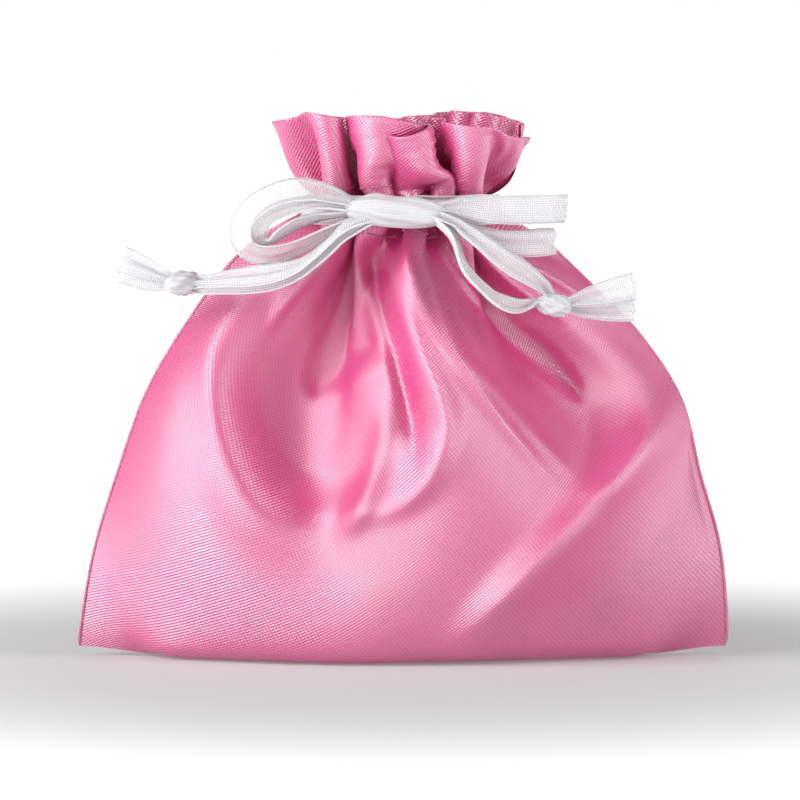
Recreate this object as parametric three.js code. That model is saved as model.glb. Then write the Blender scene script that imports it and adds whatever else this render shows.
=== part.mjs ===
// Drawstring gift pouch: two satin panels sewn at the sides and the bottom, gathered at the neck by two sheer
// ribbons that run in a casing and are tied in a bow at the front.
// Millimetres, +Z up, the front faces -Y, and the origin is the middle of the base on the table.

import * as THREE from 'three';

// Driving dimensions
const BASE_HALF_WIDTH = 37.4;
const BASE_HALF_DEPTH = 12;
const CASING_BOTTOM = 49;
const CASING_TOP = 55.6;
const HEADER_BOTTOM = 56.6;
const HEADER_TOP = 64;
const NECK_HALF_WIDTH = 10.6;
const NECK_HALF_DEPTH = 7.6;

const PANEL_THICKNESS = 0.8;
const CASING_THICKNESS = 0.6;
const FACING_THICKNESS = 0.5;
const RIBBON_WIDTH = 3.3;
const RIBBON_THICKNESS = 0.4;
const THREAD_RADIUS = 0.25;
const PANEL_EDGE = 1;          // half the space between the panels at a side seam
const BASE_SEAM_EDGE = 0.7;    // half the space between the panels at the bottom seam
const LAYER_GAP = 0.35;        // clear space between two layers of the casing

// Half-width, half-depth and squareness of the horizontal section, from the base up to the casing.
// The section is x = width * sin(t), y = depth * cos(t) ^ power: 1 is an ellipse, more is a lens.
const BODY_SECTIONS = [
  { z: 0, width: BASE_HALF_WIDTH, depth: BASE_HALF_DEPTH, power: 1.35 },
  { z: 4, width: 38.1, depth: 14.2, power: 1.3 },
  { z: 12, width: 36.8, depth: 16.8, power: 1.25 },
  { z: 21, width: 34, depth: 17.6, power: 1.2 },
  { z: 30, width: 30.5, depth: 16.2, power: 1.1 },
  { z: 39, width: 25, depth: 12.6, power: 1 },
  { z: 45, width: 19, depth: 9.8, power: 1 },
  { z: CASING_BOTTOM - 0.5, width: 11.8, depth: 8, power: 1 },
];
const BODY_FOLDS = { count: 7, depth: 0.07, low: 16, phase: 0.6 };
const HEADER_FLARE = { width: 4.2, depth: 1.2 };
const RUFFLE = { count: 6, depth: 1.3, dip: 0.5 };

const SATIN = { color: 0xe078a8, roughness: 0.35, metalness: 0 };
const SATIN_FACING = { color: 0xd0608f, roughness: 0.5, metalness: 0 };
const THREAD = { color: 0xe69bbd, roughness: 0.7, metalness: 0 };
const ORGANZA = { color: 0xf6f2f6, roughness: 0.6, metalness: 0 };

const pouch = new THREE.Group();

// ---------------------------------------------------------------------------------------------------------
// Closed solids

// An indexed geometry whose faces point out, from a closed set of triangles.
function closedGeometry(points, triangles) {
  const volume = triangles.reduce(
    (sum, [a, b, c]) => sum + points[a].dot(points[b].clone().cross(points[c])), 0);
  const outward = volume > 0 ? triangles : triangles.map(([a, b, c]) => [a, c, b]);
  const geometry = new THREE.BufferGeometry().setFromPoints(points);
  geometry.setIndex(outward.flat());
  geometry.computeVertexNormals();
  return geometry;
}

function surfaceNormal(surface, u, v) {
  const step = 1e-3;
  const alongU = surface(Math.min(u + step, 1), v).sub(surface(Math.max(u - step, 0), v));
  const alongV = surface(u, Math.min(v + step, 1)).sub(surface(u, Math.max(v - step, 0)));
  return alongU.cross(alongV).normalize();
}

// A sheet with thickness over surface(u, v), u and v from 0 to 1. It lies from `front` to `front - thickness`
// along the surface's normal.
function sheetGeometry(surface, columns, rows, thickness, front = 0) {
  const stride = columns + 1;
  const outer = [];
  const inner = [];
  for (let j = 0; j <= rows; j += 1) {
    for (let i = 0; i <= columns; i += 1) {
      const point = surface(i / columns, j / rows);
      const normal = surfaceNormal(surface, i / columns, j / rows);
      outer.push(point.clone().addScaledVector(normal, front));
      inner.push(point.clone().addScaledVector(normal, front - thickness));
    }
  }
  const triangles = [];
  const quad = (a, b, c, d) => triangles.push([a, b, c], [a, c, d]);
  const count = outer.length;
  for (let j = 0; j < rows; j += 1) {
    for (let i = 0; i < columns; i += 1) {
      const corner = j * stride + i;
      quad(corner, corner + 1, corner + stride + 1, corner + stride);
      quad(count + corner + stride, count + corner + stride + 1, count + corner + 1, count + corner);
    }
  }
  const rim = [];
  for (let i = 0; i < columns; i += 1) rim.push(i);
  for (let j = 0; j < rows; j += 1) rim.push(j * stride + columns);
  for (let i = columns; i > 0; i -= 1) rim.push(rows * stride + i);
  for (let j = rows; j > 0; j -= 1) rim.push(j * stride);
  rim.forEach((a, k) => {
    const b = rim[(k + 1) % rim.length];
    quad(b, a, count + a, count + b);
  });
  return closedGeometry([...outer, ...inner], triangles);
}

function addPiece(name, geometry, finish) {
  const mesh = new THREE.Mesh(geometry, new THREE.MeshStandardMaterial(finish));
  mesh.name = name;
  pouch.add(mesh);
}

// ---------------------------------------------------------------------------------------------------------
// The bag's shape

function smoothStep(low, high, value) {
  const t = THREE.MathUtils.clamp((value - low) / (high - low), 0, 1);
  return t * t * (3 - 2 * t);
}

const bodyProfile = new THREE.CatmullRomCurve3(
  BODY_SECTIONS.map(({ z, width, depth }) => new THREE.Vector3(width, depth, z)));

// Half-width, half-depth and power at a share of the way up the body.
function bodySection(share) {
  const point = bodyProfile.getPoint(share);
  const place = share * (BODY_SECTIONS.length - 1);
  const index = Math.min(Math.floor(place), BODY_SECTIONS.length - 2);
  const power = THREE.MathUtils.lerp(
    BODY_SECTIONS[index].power, BODY_SECTIONS[index + 1].power, place - index);
  return { z: Math.max(point.z, 0), width: point.x, depth: point.y, power };
}

// A point of one panel's section. side is -1 for the front and 1 for the back; across runs 0 to 1, left to right.
function sectionPoint({ z, width, depth, power }, across, side, edge) {
  const turn = (across - 0.5) * Math.PI;
  const bulge = (depth - edge) * Math.max(Math.cos(turn), 0) ** power;
  return new THREE.Vector3(width * Math.sin(turn), side * (edge + bulge), z);
}

// The first row of a panel lies flat on the table from the bottom seam to the base's edge.
function panelSurface(side, rows) {
  const baseShare = 1 / rows;
  return (u, v) => {
    if (v < baseShare) {
      const rim = sectionPoint(bodySection(0), u, side, PANEL_EDGE);
      const seam = new THREE.Vector3(rim.x, side * BASE_SEAM_EDGE, 0);
      return seam.lerp(rim, v / baseShare);
    }
    const section = bodySection((v - baseShare) / (1 - baseShare));
    const fade = smoothStep(BODY_FOLDS.low, 38, section.z) * (1 - smoothStep(44, CASING_BOTTOM, section.z));
    const wave = Math.cos(BODY_FOLDS.count * (u - 0.5) * Math.PI + BODY_FOLDS.phase);
    section.depth *= 1 + BODY_FOLDS.depth * fade * wave;
    return sectionPoint(section, u, side, PANEL_EDGE);
  };
}

// Half of the neck's ring, between two heights.
function neckSurface(side, low, high) {
  return (u, v) => sectionPoint(
    { z: THREE.MathUtils.lerp(low, high, v), width: NECK_HALF_WIDTH, depth: NECK_HALF_DEPTH, power: 1 },
    u, side, PANEL_EDGE);
}

// The header flares up and out of the casing in ruffles.
function headerSurface(side) {
  return (u, v) => {
    const ruffle = Math.cos(RUFFLE.count * 2 * Math.PI * u) * v;
    const section = {
      z: THREE.MathUtils.lerp(HEADER_BOTTOM, HEADER_TOP + RUFFLE.dip * ruffle, v),
      width: NECK_HALF_WIDTH + 0.2 + HEADER_FLARE.width * v ** 0.8,
      depth: NECK_HALF_DEPTH + HEADER_FLARE.depth * v + RUFFLE.depth * ruffle,
      power: 1,
    };
    return sectionPoint(section, u, side, PANEL_EDGE);
  };
}

const PANEL_COLUMNS = 32;
const PANEL_ROWS = 13;
const NECK_COLUMNS = 28;
const HEADER_COLUMNS = 36;
const HEADER_ROWS = 3;

// The casing's layers, counted in from its outer face: outer cloth, left ribbon, right ribbon, facing.
const LEFT_RIBBON_DEPTH = CASING_THICKNESS + LAYER_GAP;
const RIGHT_RIBBON_DEPTH = LEFT_RIBBON_DEPTH + RIBBON_THICKNESS + LAYER_GAP;
const FACING_DEPTH = RIGHT_RIBBON_DEPTH + RIBBON_THICKNESS + LAYER_GAP;

function addClothSide(label, side) {
  const outward = (surface) => (side < 0 ? surface : (u, v) => surface(1 - u, v));
  const panel = outward(panelSurface(side, PANEL_ROWS));
  addPiece(`${label}_panel`, sheetGeometry(panel, PANEL_COLUMNS, PANEL_ROWS, PANEL_THICKNESS), SATIN);
  const casing = outward(neckSurface(side, CASING_BOTTOM + 0.6, CASING_TOP));
  addPiece(`${label}_casing`, sheetGeometry(casing, NECK_COLUMNS, 1, CASING_THICKNESS), SATIN);
  addPiece(`${label}_casing_facing`,
    sheetGeometry(casing, NECK_COLUMNS, 1, FACING_THICKNESS, -FACING_DEPTH), SATIN_FACING);
  const header = outward(headerSurface(side));
  addPiece(`${label}_header`,
    sheetGeometry(header, HEADER_COLUMNS, HEADER_ROWS, 2 * CASING_THICKNESS), SATIN);
}

// ---------------------------------------------------------------------------------------------------------
// Seams and stitching

// A bar of rectangular section along a route of points, each { at, out }: out is the direction of its width.
function stripGeometry(route, width, thickness) {
  const surface = (u, v) => {
    const place = u * (route.length - 1);
    const index = Math.min(Math.floor(place), route.length - 2);
    const at = route[index].at.clone().lerp(route[index + 1].at, place - index);
    const out = route[index].out.clone().lerp(route[index + 1].out, place - index).normalize();
    return at.addScaledVector(out, (v - 0.5) * width);
  };
  return sheetGeometry(surface, route.length - 1, 1, thickness, thickness / 2);
}

const SEAM_ALLOWANCE = 3;
const SEAM_THICKNESS = 1.2;

function addSideSeam(label, side) {
  const steps = 10;
  const route = [];
  for (let k = 0; k <= steps; k += 1) {
    const section = bodySection(THREE.MathUtils.lerp(0.02, 0.97, k / steps));
    const x = side * (section.width + 0.2 - SEAM_ALLOWANCE / 2);
    route.push({ at: new THREE.Vector3(x, 0, section.z + 0.3), out: new THREE.Vector3(side, 0, 0) });
  }
  addPiece(`${label}_side_seam`, stripGeometry(route, SEAM_ALLOWANCE, SEAM_THICKNESS), SATIN);
}

function addBottomSeam() {
  const reach = BASE_HALF_WIDTH - SEAM_ALLOWANCE - 2;
  const geometry = new THREE.BoxGeometry(2 * reach, 2 * (BASE_SEAM_EDGE - LAYER_GAP), SEAM_ALLOWANCE);
  geometry.translate(0, 0, SEAM_ALLOWANCE / 2 + 0.1);
  addPiece('bottom_seam', geometry, SATIN_FACING);
}

// A row of stitching: the thread that sinks into the cloth just under or over the casing.
function addStitching(name, side, height) {
  const steps = 28;
  const neck = neckSurface(side, height, height);
  const points = [];
  for (let k = 0; k <= steps; k += 1) points.push(neck(k / steps, 0));
  const curve = new THREE.CatmullRomCurve3(points);
  const thread = new THREE.Shape().absarc(0, 0, THREAD_RADIUS, 0, 2 * Math.PI);
  const geometry = new THREE.ExtrudeGeometry(
    thread, { steps, curveSegments: 2, extrudePath: curve, bevelEnabled: false });
  addPiece(name, geometry, THREAD);
}

// ---------------------------------------------------------------------------------------------------------
// Ribbons

// A ribbon from hand-set stations [x, y, z, width, across x, across y, across z]: the centreline, how wide the
// ribbon is there, and the direction that its width lies in.
function ribbonGeometry(stations, steps) {
  const centre = new THREE.CatmullRomCurve3(stations.map(([x, y, z]) => new THREE.Vector3(x, y, z)));
  const across = new THREE.CatmullRomCurve3(
    stations.map(([, , , width, x, y, z]) => new THREE.Vector3(x, y, z).normalize().multiplyScalar(width)));
  const surface = (u, v) => centre.getPoint(u).addScaledVector(across.getPoint(u), v - 0.5);
  return sheetGeometry(surface, steps, 1, RIBBON_THICKNESS, RIBBON_THICKNESS / 2);
}

// The outer and inner strand of each loop, out from the knot and back to it.
const LEFT_LOOP_A = [
  [-5.6, -11.9, 53.5, 1.8, 0, 1, 0.3],
  [-7.6, -12.3, 54.2, 2.6, 0, 1, 0.6],
  [-9.9, -12.6, 54.8, 3.3, 0, 0.8, 0.7],
  [-12.4, -12.8, 54.9, 3.3, -0.1, 0.6, 0.8],
  [-14.8, -12.8, 54.3, 3.3, -0.3, 0.6, 0.7],
  [-16.9, -12.6, 53.1, 3.3, -0.6, 0.6, 0.5],
  [-18.3, -12.3, 51.5, 3.3, -0.8, 0.6, 0.1],
  [-18.7, -12, 49.8, 3.2, -0.8, 0.6, -0.1],
  [-18.1, -11.8, 48.2, 3, -0.5, 0.7, -0.5],
  [-16.5, -11.7, 47.4, 3, -0.2, 0.7, -0.6],
  [-14.4, -11.6, 47.4, 3, 0.1, 0.7, -0.6],
  [-12.2, -11.4, 48.1, 2.8, 0.1, 0.8, -0.5],
  [-9.9, -11.1, 49.2, 2.4, 0.2, 0.9, -0.4],
  [-7.6, -10.9, 50.4, 2, 0.1, 1, -0.2],
  [-5.6, -10.8, 51.3, 1.6, 0, 1, 0],
];
const LEFT_LOOP_B = [
  [-5.6, -11.6, 52.8, 1.8, 0, 1, 0.2],
  [-7.6, -11.8, 53.2, 2.2, 0, 1, 0.3],
  [-9.8, -11.9, 53.5, 2.6, 0, 0.9, 0.4],
  [-12.2, -11.8, 53.1, 2.8, 0, 0.8, 0.5],
  [-14.3, -11.6, 52.5, 2.8, -0.2, 0.8, 0.5],
  [-16, -11.3, 51.4, 2.8, -0.5, 0.8, 0.3],
  [-16.5, -11.1, 50, 2.6, -0.7, 0.7, 0],
  [-16.1, -11, 48.9, 2.2, -0.3, 0.9, -0.2],
  [-15.1, -11, 48.9, 2.2, 0.3, 0.9, 0.1],
  [-14, -11, 49.8, 2.4, 0.3, 0.9, -0.1],
  [-12.2, -11, 50.9, 2.4, 0.1, 0.9, -0.3],
  [-9.8, -11, 51.6, 2.2, 0, 0.9, -0.2],
  [-7.6, -11.1, 51.9, 2, 0, 1, 0],
  [-5.6, -11.2, 52, 1.8, 0, 1, 0],
];
const RIGHT_LOOP_A = [
  [5.3, -12.4, 53, 1.6, 0, 0.1, 1],
  [7.2, -12.9, 53, 2.6, 0, 0.1, 1],
  [9.4, -13.3, 52.8, 3.2, 0, 0.1, 1],
  [12, -13.4, 52.6, 3.3, 0, 0, 1],
  [15, -13.2, 52.6, 3.3, 0, 0, 1],
  [17.4, -12.9, 52.7, 3.3, 0.1, 0, 1],
  [18.6, -12.1, 52.7, 3.3, 0.1, 0, 1],
  [18.2, -11.1, 52.7, 3.3, 0.1, 0, 1],
  [16.2, -10.5, 52.6, 3.3, 0, 0, 1],
  [12.6, -10.2, 52.6, 3.2, 0, 0, 1],
  [9.2, -10.2, 52.7, 2.6, 0, 0, 1],
  [5.3, -10.5, 52.9, 1.6, 0, 0, 1],
];
const RIGHT_LOOP_B = [
  [5.3, -12.2, 51.2, 1.2, 0, 0.1, 1],
  [7, -12.6, 50.3, 1.8, 0.2, 0.1, 1],
  [9.2, -12.8, 49.4, 2.4, 0.2, 0.1, 1],
  [12, -12.8, 48.8, 2.8, 0.1, 0, 1],
  [14.8, -12.6, 48.7, 3, 0, 0, 1],
  [16.8, -12.2, 48.9, 3, 0, 0, 1],
  [17.3, -11.5, 49, 3, 0, 0, 1],
  [16.4, -11, 49, 3, 0, 0, 1],
  [14.2, -10.8, 48.9, 2.8, 0, 0, 1],
  [11.4, -10.7, 49, 2.4, 0.1, 0, 1],
  [8.4, -10.6, 50, 1.8, 0.2, 0, 1],
  [5.3, -10.5, 51.1, 1.2, 0, 0, 1],
];

// The two strands of each tail, from the knot of the bow to the tail's own knot.
const LEFT_TAIL_A = [
  [-5.3, -13.3, 51.4, 1.6, 0, 1, 0.3],
  [-7, -13.6, 50.5, 2, 0.2, 1, 0.3],
  [-8.6, -13.7, 49, 2.2, 0.3, 1, 0.3],
  [-10.4, -13.6, 47.4, 2.4, 0.2, 1, 0.3],
  [-12.4, -13.2, 46.1, 2.6, 0.1, 1, 0.5],
  [-15, -12.4, 45.3, 2.8, 0, 0.8, 0.7],
  [-17.6, -11.2, 44.9, 2.8, 0, 0.8, 0.7],
  [-20, -9.8, 44.6, 2.2, 0, 0.8, 0.7],
  [-22, -8.6, 44.3, 1.8, 0, 0.8, 0.7],
  [-23.4, -7.8, 44.2, 1.6, 0, 0.8, 0.7],
];
const LEFT_TAIL_B = [
  [-5.3, -12.5, 50.6, 1.4, 0, 1, 0.3],
  [-6.9, -12.9, 49.5, 1.8, 0.2, 1, 0.3],
  [-8.4, -13, 48, 2, 0.3, 1, 0.3],
  [-10.2, -12.9, 46.5, 2.2, 0.2, 1, 0.3],
  [-12.3, -12.4, 45.2, 2.4, 0.1, 1, 0.5],
  [-14.9, -11.6, 44.4, 2.6, 0, 0.8, 0.7],
  [-17.4, -10.4, 44, 2.6, 0, 0.8, 0.7],
  [-19.8, -9.1, 43.7, 2, 0, 0.8, 0.7],
  [-21.8, -8, 43.5, 1.6, 0, 0.8, 0.7],
  [-23.4, -7.2, 43.4, 1.4, 0, 0.8, 0.7],
];
const RIGHT_TAIL_A = [
  [4.9, -13.3, 50.2, 1.2, 0.3, 1, 0],
  [5.8, -13.8, 48.9, 1.8, 0.3, 1, 0],
  [6.4, -14.4, 47.1, 2.4, 0.3, 1, 0],
  [7.4, -14.9, 45.4, 2.8, 0.3, 1, 0.2],
  [8.9, -15.1, 43.9, 3, 0.2, 1, 0.3],
  [10.7, -14.9, 42.4, 2.8, 0, 0.8, 0.6],
  [12.7, -14.2, 41.7, 2.2, 0, 0.5, 0.9],
  [14.3, -13.4, 41.7, 1.6, 0, 0.8, 0.6],
  [15.3, -12.9, 41.8, 1.2, 0, 1, 0.2],
];
const RIGHT_TAIL_B = [
  [5.8, -13.7, 51.3, 1.2, 0, 0.5, 1],
  [7.2, -14.3, 50.3, 1.8, 0.3, 0.4, 0.9],
  [9, -14.6, 49, 2.2, 0.5, 0.4, 0.8],
  [10.9, -14.6, 47.5, 2.6, 0.5, 0.4, 0.8],
  [12.8, -14.3, 46.2, 2.8, 0.5, 0.4, 0.8],
  [14.5, -13.8, 45.1, 2.6, 0.5, 0.5, 0.7],
  [15.8, -13.2, 44.1, 2, 0.7, 0.5, 0.5],
  [16.5, -12.7, 43.4, 1.6, 0.9, 0.4, 0.1],
];

// The ends past each tail's knot, cut across.
const LEFT_CUT_A = [
  [-27.5, -6.5, 44.6, 1.6, 0, 0.3, 1],
  [-29.4, -5.9, 45.3, 2.6, 0.2, 0.3, 1],
  [-32.6, -5.2, 46.6, 3.3, 0.2, 0.2, 1],
];
const LEFT_CUT_B = [
  [-27.5, -5.9, 43.8, 1.6, 0, 0.3, 1],
  [-29.4, -5.2, 44.2, 2.6, 0.1, 0.3, 1],
  [-32.3, -4.4, 45.2, 3.3, 0.2, 0.2, 1],
];
const RIGHT_CUT_A = [
  [19.3, -12.4, 42.1, 1.4, -0.2, 0.2, 1],
  [21.4, -12.3, 42.6, 2.4, -0.2, 0.2, 1],
  [24, -12.1, 43.2, 3.1, -0.3, 0.1, 1],
  [26.6, -11.9, 43.8, 3.3, -0.3, 0.1, 1],
];
const RIGHT_CUT_B = [
  [19.3, -11.8, 41.2, 1.4, 0, 0.2, 1],
  [21.4, -11.5, 41.1, 2.2, 0, 0.2, 1],
  [24, -11.3, 41.1, 2.8, 0, 0.2, 1],
  [26.6, -11.1, 41.2, 3, 0.1, 0.2, 1],
];

const LOOP_STEPS = 30;
const TAIL_STEPS = 14;
const CUT_STEPS = 4;

// One ribbon's run round the neck inside the casing. It is open at the slit that it leaves by.
function addRibbonInCasing(name, openSide, depth) {
  const height = (CASING_BOTTOM + CASING_TOP) / 2 + 0.3;
  const slit = 0.16;
  const start = openSide < 0 ? Math.PI : 0;
  const surface = (u, v) => {
    const turn = start + slit + u * 2 * (Math.PI - slit);
    const x = NECK_HALF_WIDTH * Math.cos(turn);
    const y = NECK_HALF_DEPTH * Math.sin(turn);
    return new THREE.Vector3(x, y, height + (v - 0.5) * RIBBON_WIDTH);
  };
  addPiece(name, sheetGeometry(surface, 40, 1, RIBBON_THICKNESS, -depth), ORGANZA);
}

// A strand from the slit forward round the outside of the casing to the back of the bow's knot.
function addFeedStrand(name, side, layer) {
  const clearance = LAYER_GAP + (RIBBON_THICKNESS + LAYER_GAP) * layer;
  const height = (CASING_BOTTOM + CASING_TOP) / 2 + 0.3 - 0.5 * layer;
  const fromSlit = 0.08;
  const toKnot = Math.PI / 2 - 0.06;
  const surface = (u, v) => {
    const turn = THREE.MathUtils.lerp(fromSlit, toKnot, u);
    const x = side * NECK_HALF_WIDTH * Math.cos(turn);
    const y = -(NECK_HALF_DEPTH * Math.sin(turn) + 0.35 * Math.cos(turn));
    return new THREE.Vector3(x, y, height + (v - 0.5) * RIBBON_WIDTH);
  };
  const leftToRight = side < 0 ? surface : (u, v) => surface(1 - u, v);
  addPiece(name, sheetGeometry(leftToRight, 12, 1, RIBBON_THICKNESS, clearance + RIBBON_THICKNESS), ORGANZA);
}

// A rounded knot: a sphere drawn out to three half-sizes.
function addKnot(name, centre, halfSize, turnZ, turnY) {
  const geometry = new THREE.SphereGeometry(1, 14, 9);
  geometry.scale(...halfSize);
  geometry.rotateY(turnY);
  geometry.rotateZ(turnZ);
  geometry.translate(...centre);
  addPiece(name, geometry, ORGANZA);
}

// ---------------------------------------------------------------------------------------------------------
// The pouch

addClothSide('front', -1);
addClothSide('back', 1);
addSideSeam('left', -1);
addSideSeam('right', 1);
addBottomSeam();
for (const [label, side] of [['front', -1], ['back', 1]]) {
  addStitching(`${label}_lower_stitching`, side, CASING_BOTTOM + 0.05);
  addStitching(`${label}_upper_stitching`, side, (CASING_TOP + HEADER_BOTTOM) / 2);
}

addRibbonInCasing('left_ribbon_in_casing', -1, LEFT_RIBBON_DEPTH);
addRibbonInCasing('right_ribbon_in_casing', 1, RIGHT_RIBBON_DEPTH);
for (const [label, side] of [['left', -1], ['right', 1]]) {
  addFeedStrand(`${label}_feed_strand_a`, side, 0);
  addFeedStrand(`${label}_feed_strand_b`, side, 1);
}

addKnot('bow_knot', [-0.1, -11.4, 52.3], [3.9, 1.7, 1.8], 0, 0);
addKnot('left_tail_knot', [-25.4, -6.9, 43.9], [1.9, 1.4, 1.3], 0.5, -0.1);
addKnot('right_tail_knot', [17.3, -12.4, 41.7], [1.8, 1.4, 1.2], 0.1, 0.1);

const RIBBON_PIECES = [
  ['left_loop_a', LEFT_LOOP_A, LOOP_STEPS],
  ['left_loop_b', LEFT_LOOP_B, LOOP_STEPS],
  ['right_loop_a', RIGHT_LOOP_A, LOOP_STEPS],
  ['right_loop_b', RIGHT_LOOP_B, LOOP_STEPS],
  ['left_tail_strand_a', LEFT_TAIL_A, TAIL_STEPS],
  ['left_tail_strand_b', LEFT_TAIL_B, TAIL_STEPS],
  ['right_tail_strand_a', RIGHT_TAIL_A, TAIL_STEPS],
  ['right_tail_strand_b', RIGHT_TAIL_B, TAIL_STEPS],
  ['left_cut_end_a', LEFT_CUT_A, CUT_STEPS],
  ['left_cut_end_b', LEFT_CUT_B, CUT_STEPS],
  ['right_cut_end_a', RIGHT_CUT_A, CUT_STEPS],
  ['right_cut_end_b', RIGHT_CUT_B, CUT_STEPS],
];
for (const [name, stations, steps] of RIBBON_PIECES) {
  addPiece(name, ribbonGeometry(stations, steps), ORGANZA);
}

export default pouch;
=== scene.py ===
import math

import bpy
import numpy as np
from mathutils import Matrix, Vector


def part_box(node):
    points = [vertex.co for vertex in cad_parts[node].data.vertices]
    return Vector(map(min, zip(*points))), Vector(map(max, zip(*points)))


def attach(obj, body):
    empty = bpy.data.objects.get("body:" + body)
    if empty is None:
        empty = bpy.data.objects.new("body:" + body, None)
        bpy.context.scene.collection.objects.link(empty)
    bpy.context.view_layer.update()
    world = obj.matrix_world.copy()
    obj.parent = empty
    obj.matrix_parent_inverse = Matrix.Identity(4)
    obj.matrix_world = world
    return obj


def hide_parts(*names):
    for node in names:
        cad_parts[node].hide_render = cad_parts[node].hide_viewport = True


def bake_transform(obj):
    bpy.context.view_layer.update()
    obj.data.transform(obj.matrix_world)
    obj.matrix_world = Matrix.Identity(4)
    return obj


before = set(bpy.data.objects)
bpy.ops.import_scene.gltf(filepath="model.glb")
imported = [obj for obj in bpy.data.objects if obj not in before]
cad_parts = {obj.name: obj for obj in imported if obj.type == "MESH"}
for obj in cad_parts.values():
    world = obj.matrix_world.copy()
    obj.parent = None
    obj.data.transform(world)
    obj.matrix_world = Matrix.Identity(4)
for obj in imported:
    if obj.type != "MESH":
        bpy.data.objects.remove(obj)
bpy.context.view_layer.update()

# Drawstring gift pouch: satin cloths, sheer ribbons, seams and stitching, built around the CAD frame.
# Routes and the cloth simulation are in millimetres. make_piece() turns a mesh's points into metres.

MILLIMETRE = 0.001
rng = np.random.default_rng(7)


# ----------------------------------------
# Camera, stage and lights

PICTURE_WIDTH = 93.6       # millimetres across the picture, at the middle of the pouch
LENS = 250
SENSOR = 36
CAMERA_RISE = math.radians(4)
AIM = (-0.35, 0, 29.9)


def add_camera():
    data = bpy.data.cameras.new("camera")
    data.lens = LENS
    data.sensor_width = SENSOR
    camera = bpy.data.objects.new("camera", data)
    distance = PICTURE_WIDTH * LENS / SENSOR
    back = Vector((0, -math.cos(CAMERA_RISE), math.sin(CAMERA_RISE)))
    camera.location = (Vector(AIM) + back * distance) * MILLIMETRE
    camera.rotation_euler = (math.pi / 2 - CAMERA_RISE, 0, 0)
    bpy.context.scene.collection.objects.link(camera)
    bpy.context.scene.camera = camera


def add_softbox(name, place, size, power):
    data = bpy.data.lights.new(name, "AREA")
    data.shape = "RECTANGLE"
    data.size, data.size_y = size
    data.energy = power
    light = bpy.data.objects.new(name, data)
    light.location = place
    toward = Vector(LIT_POINT) - Vector(place)
    light.rotation_euler = toward.to_track_quat("-Z", "Y").to_euler()
    bpy.context.scene.collection.objects.link(light)


# Each softbox: its name, place, width and height in metres, and watts
SOFTBOXES = [
    ("left_softbox", (-0.52, -0.32, 0.22), (0.3, 0.6), 4.7),
    ("right_softbox", (0.56, -0.28, 0.2), (0.22, 0.6), 2.3),
    ("back_softbox", (0.1, 0.7, 0.45), (0.8, 0.5), 1.0),
]
LIT_POINT = (0, 0, 0.03)   # that the softboxes face


def add_lights():
    for softbox in SOFTBOXES:
        add_softbox(*softbox)


WALLS_GLOW = 0.42          # of the studio's white walls
CEILING_GLOW = 0.3         # of its darker ceiling
WALLS_END, CEILING_START = 0.1, 0.85          # how steeply up they are seen, as a direction's Z


def add_world():
    """White walls under a darker ceiling, seen as plain white behind the pouch."""
    world = bpy.data.worlds.new("studio")
    bpy.context.scene.world = world
    world.use_nodes = True
    nodes, links = world.node_tree.nodes, world.node_tree.links
    background = nodes["Background"]
    background.inputs["Color"].default_value = (1, 1, 1, 1)
    direction = nodes.new("ShaderNodeSeparateXYZ")
    links.new(nodes.new("ShaderNodeTexCoord").outputs["Generated"], direction.inputs[0])
    light = nodes.new("ShaderNodeMapRange")
    light.interpolation_type = "SMOOTHSTEP"
    light.inputs["From Min"].default_value = WALLS_END
    light.inputs["From Max"].default_value = CEILING_START
    light.inputs["To Min"].default_value = WALLS_GLOW
    light.inputs["To Max"].default_value = CEILING_GLOW
    links.new(direction.outputs["Z"], light.inputs["Value"])
    seen = nodes.new("ShaderNodeMix")
    seen.inputs["B"].default_value = 1.0
    links.new(nodes.new("ShaderNodeLightPath").outputs["Is Camera Ray"], seen.inputs["Factor"])
    links.new(light.outputs["Result"], seen.inputs["A"])
    links.new(seen.outputs["Result"], background.inputs["Strength"])


# ----------------------------------------
# Materials

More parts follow.
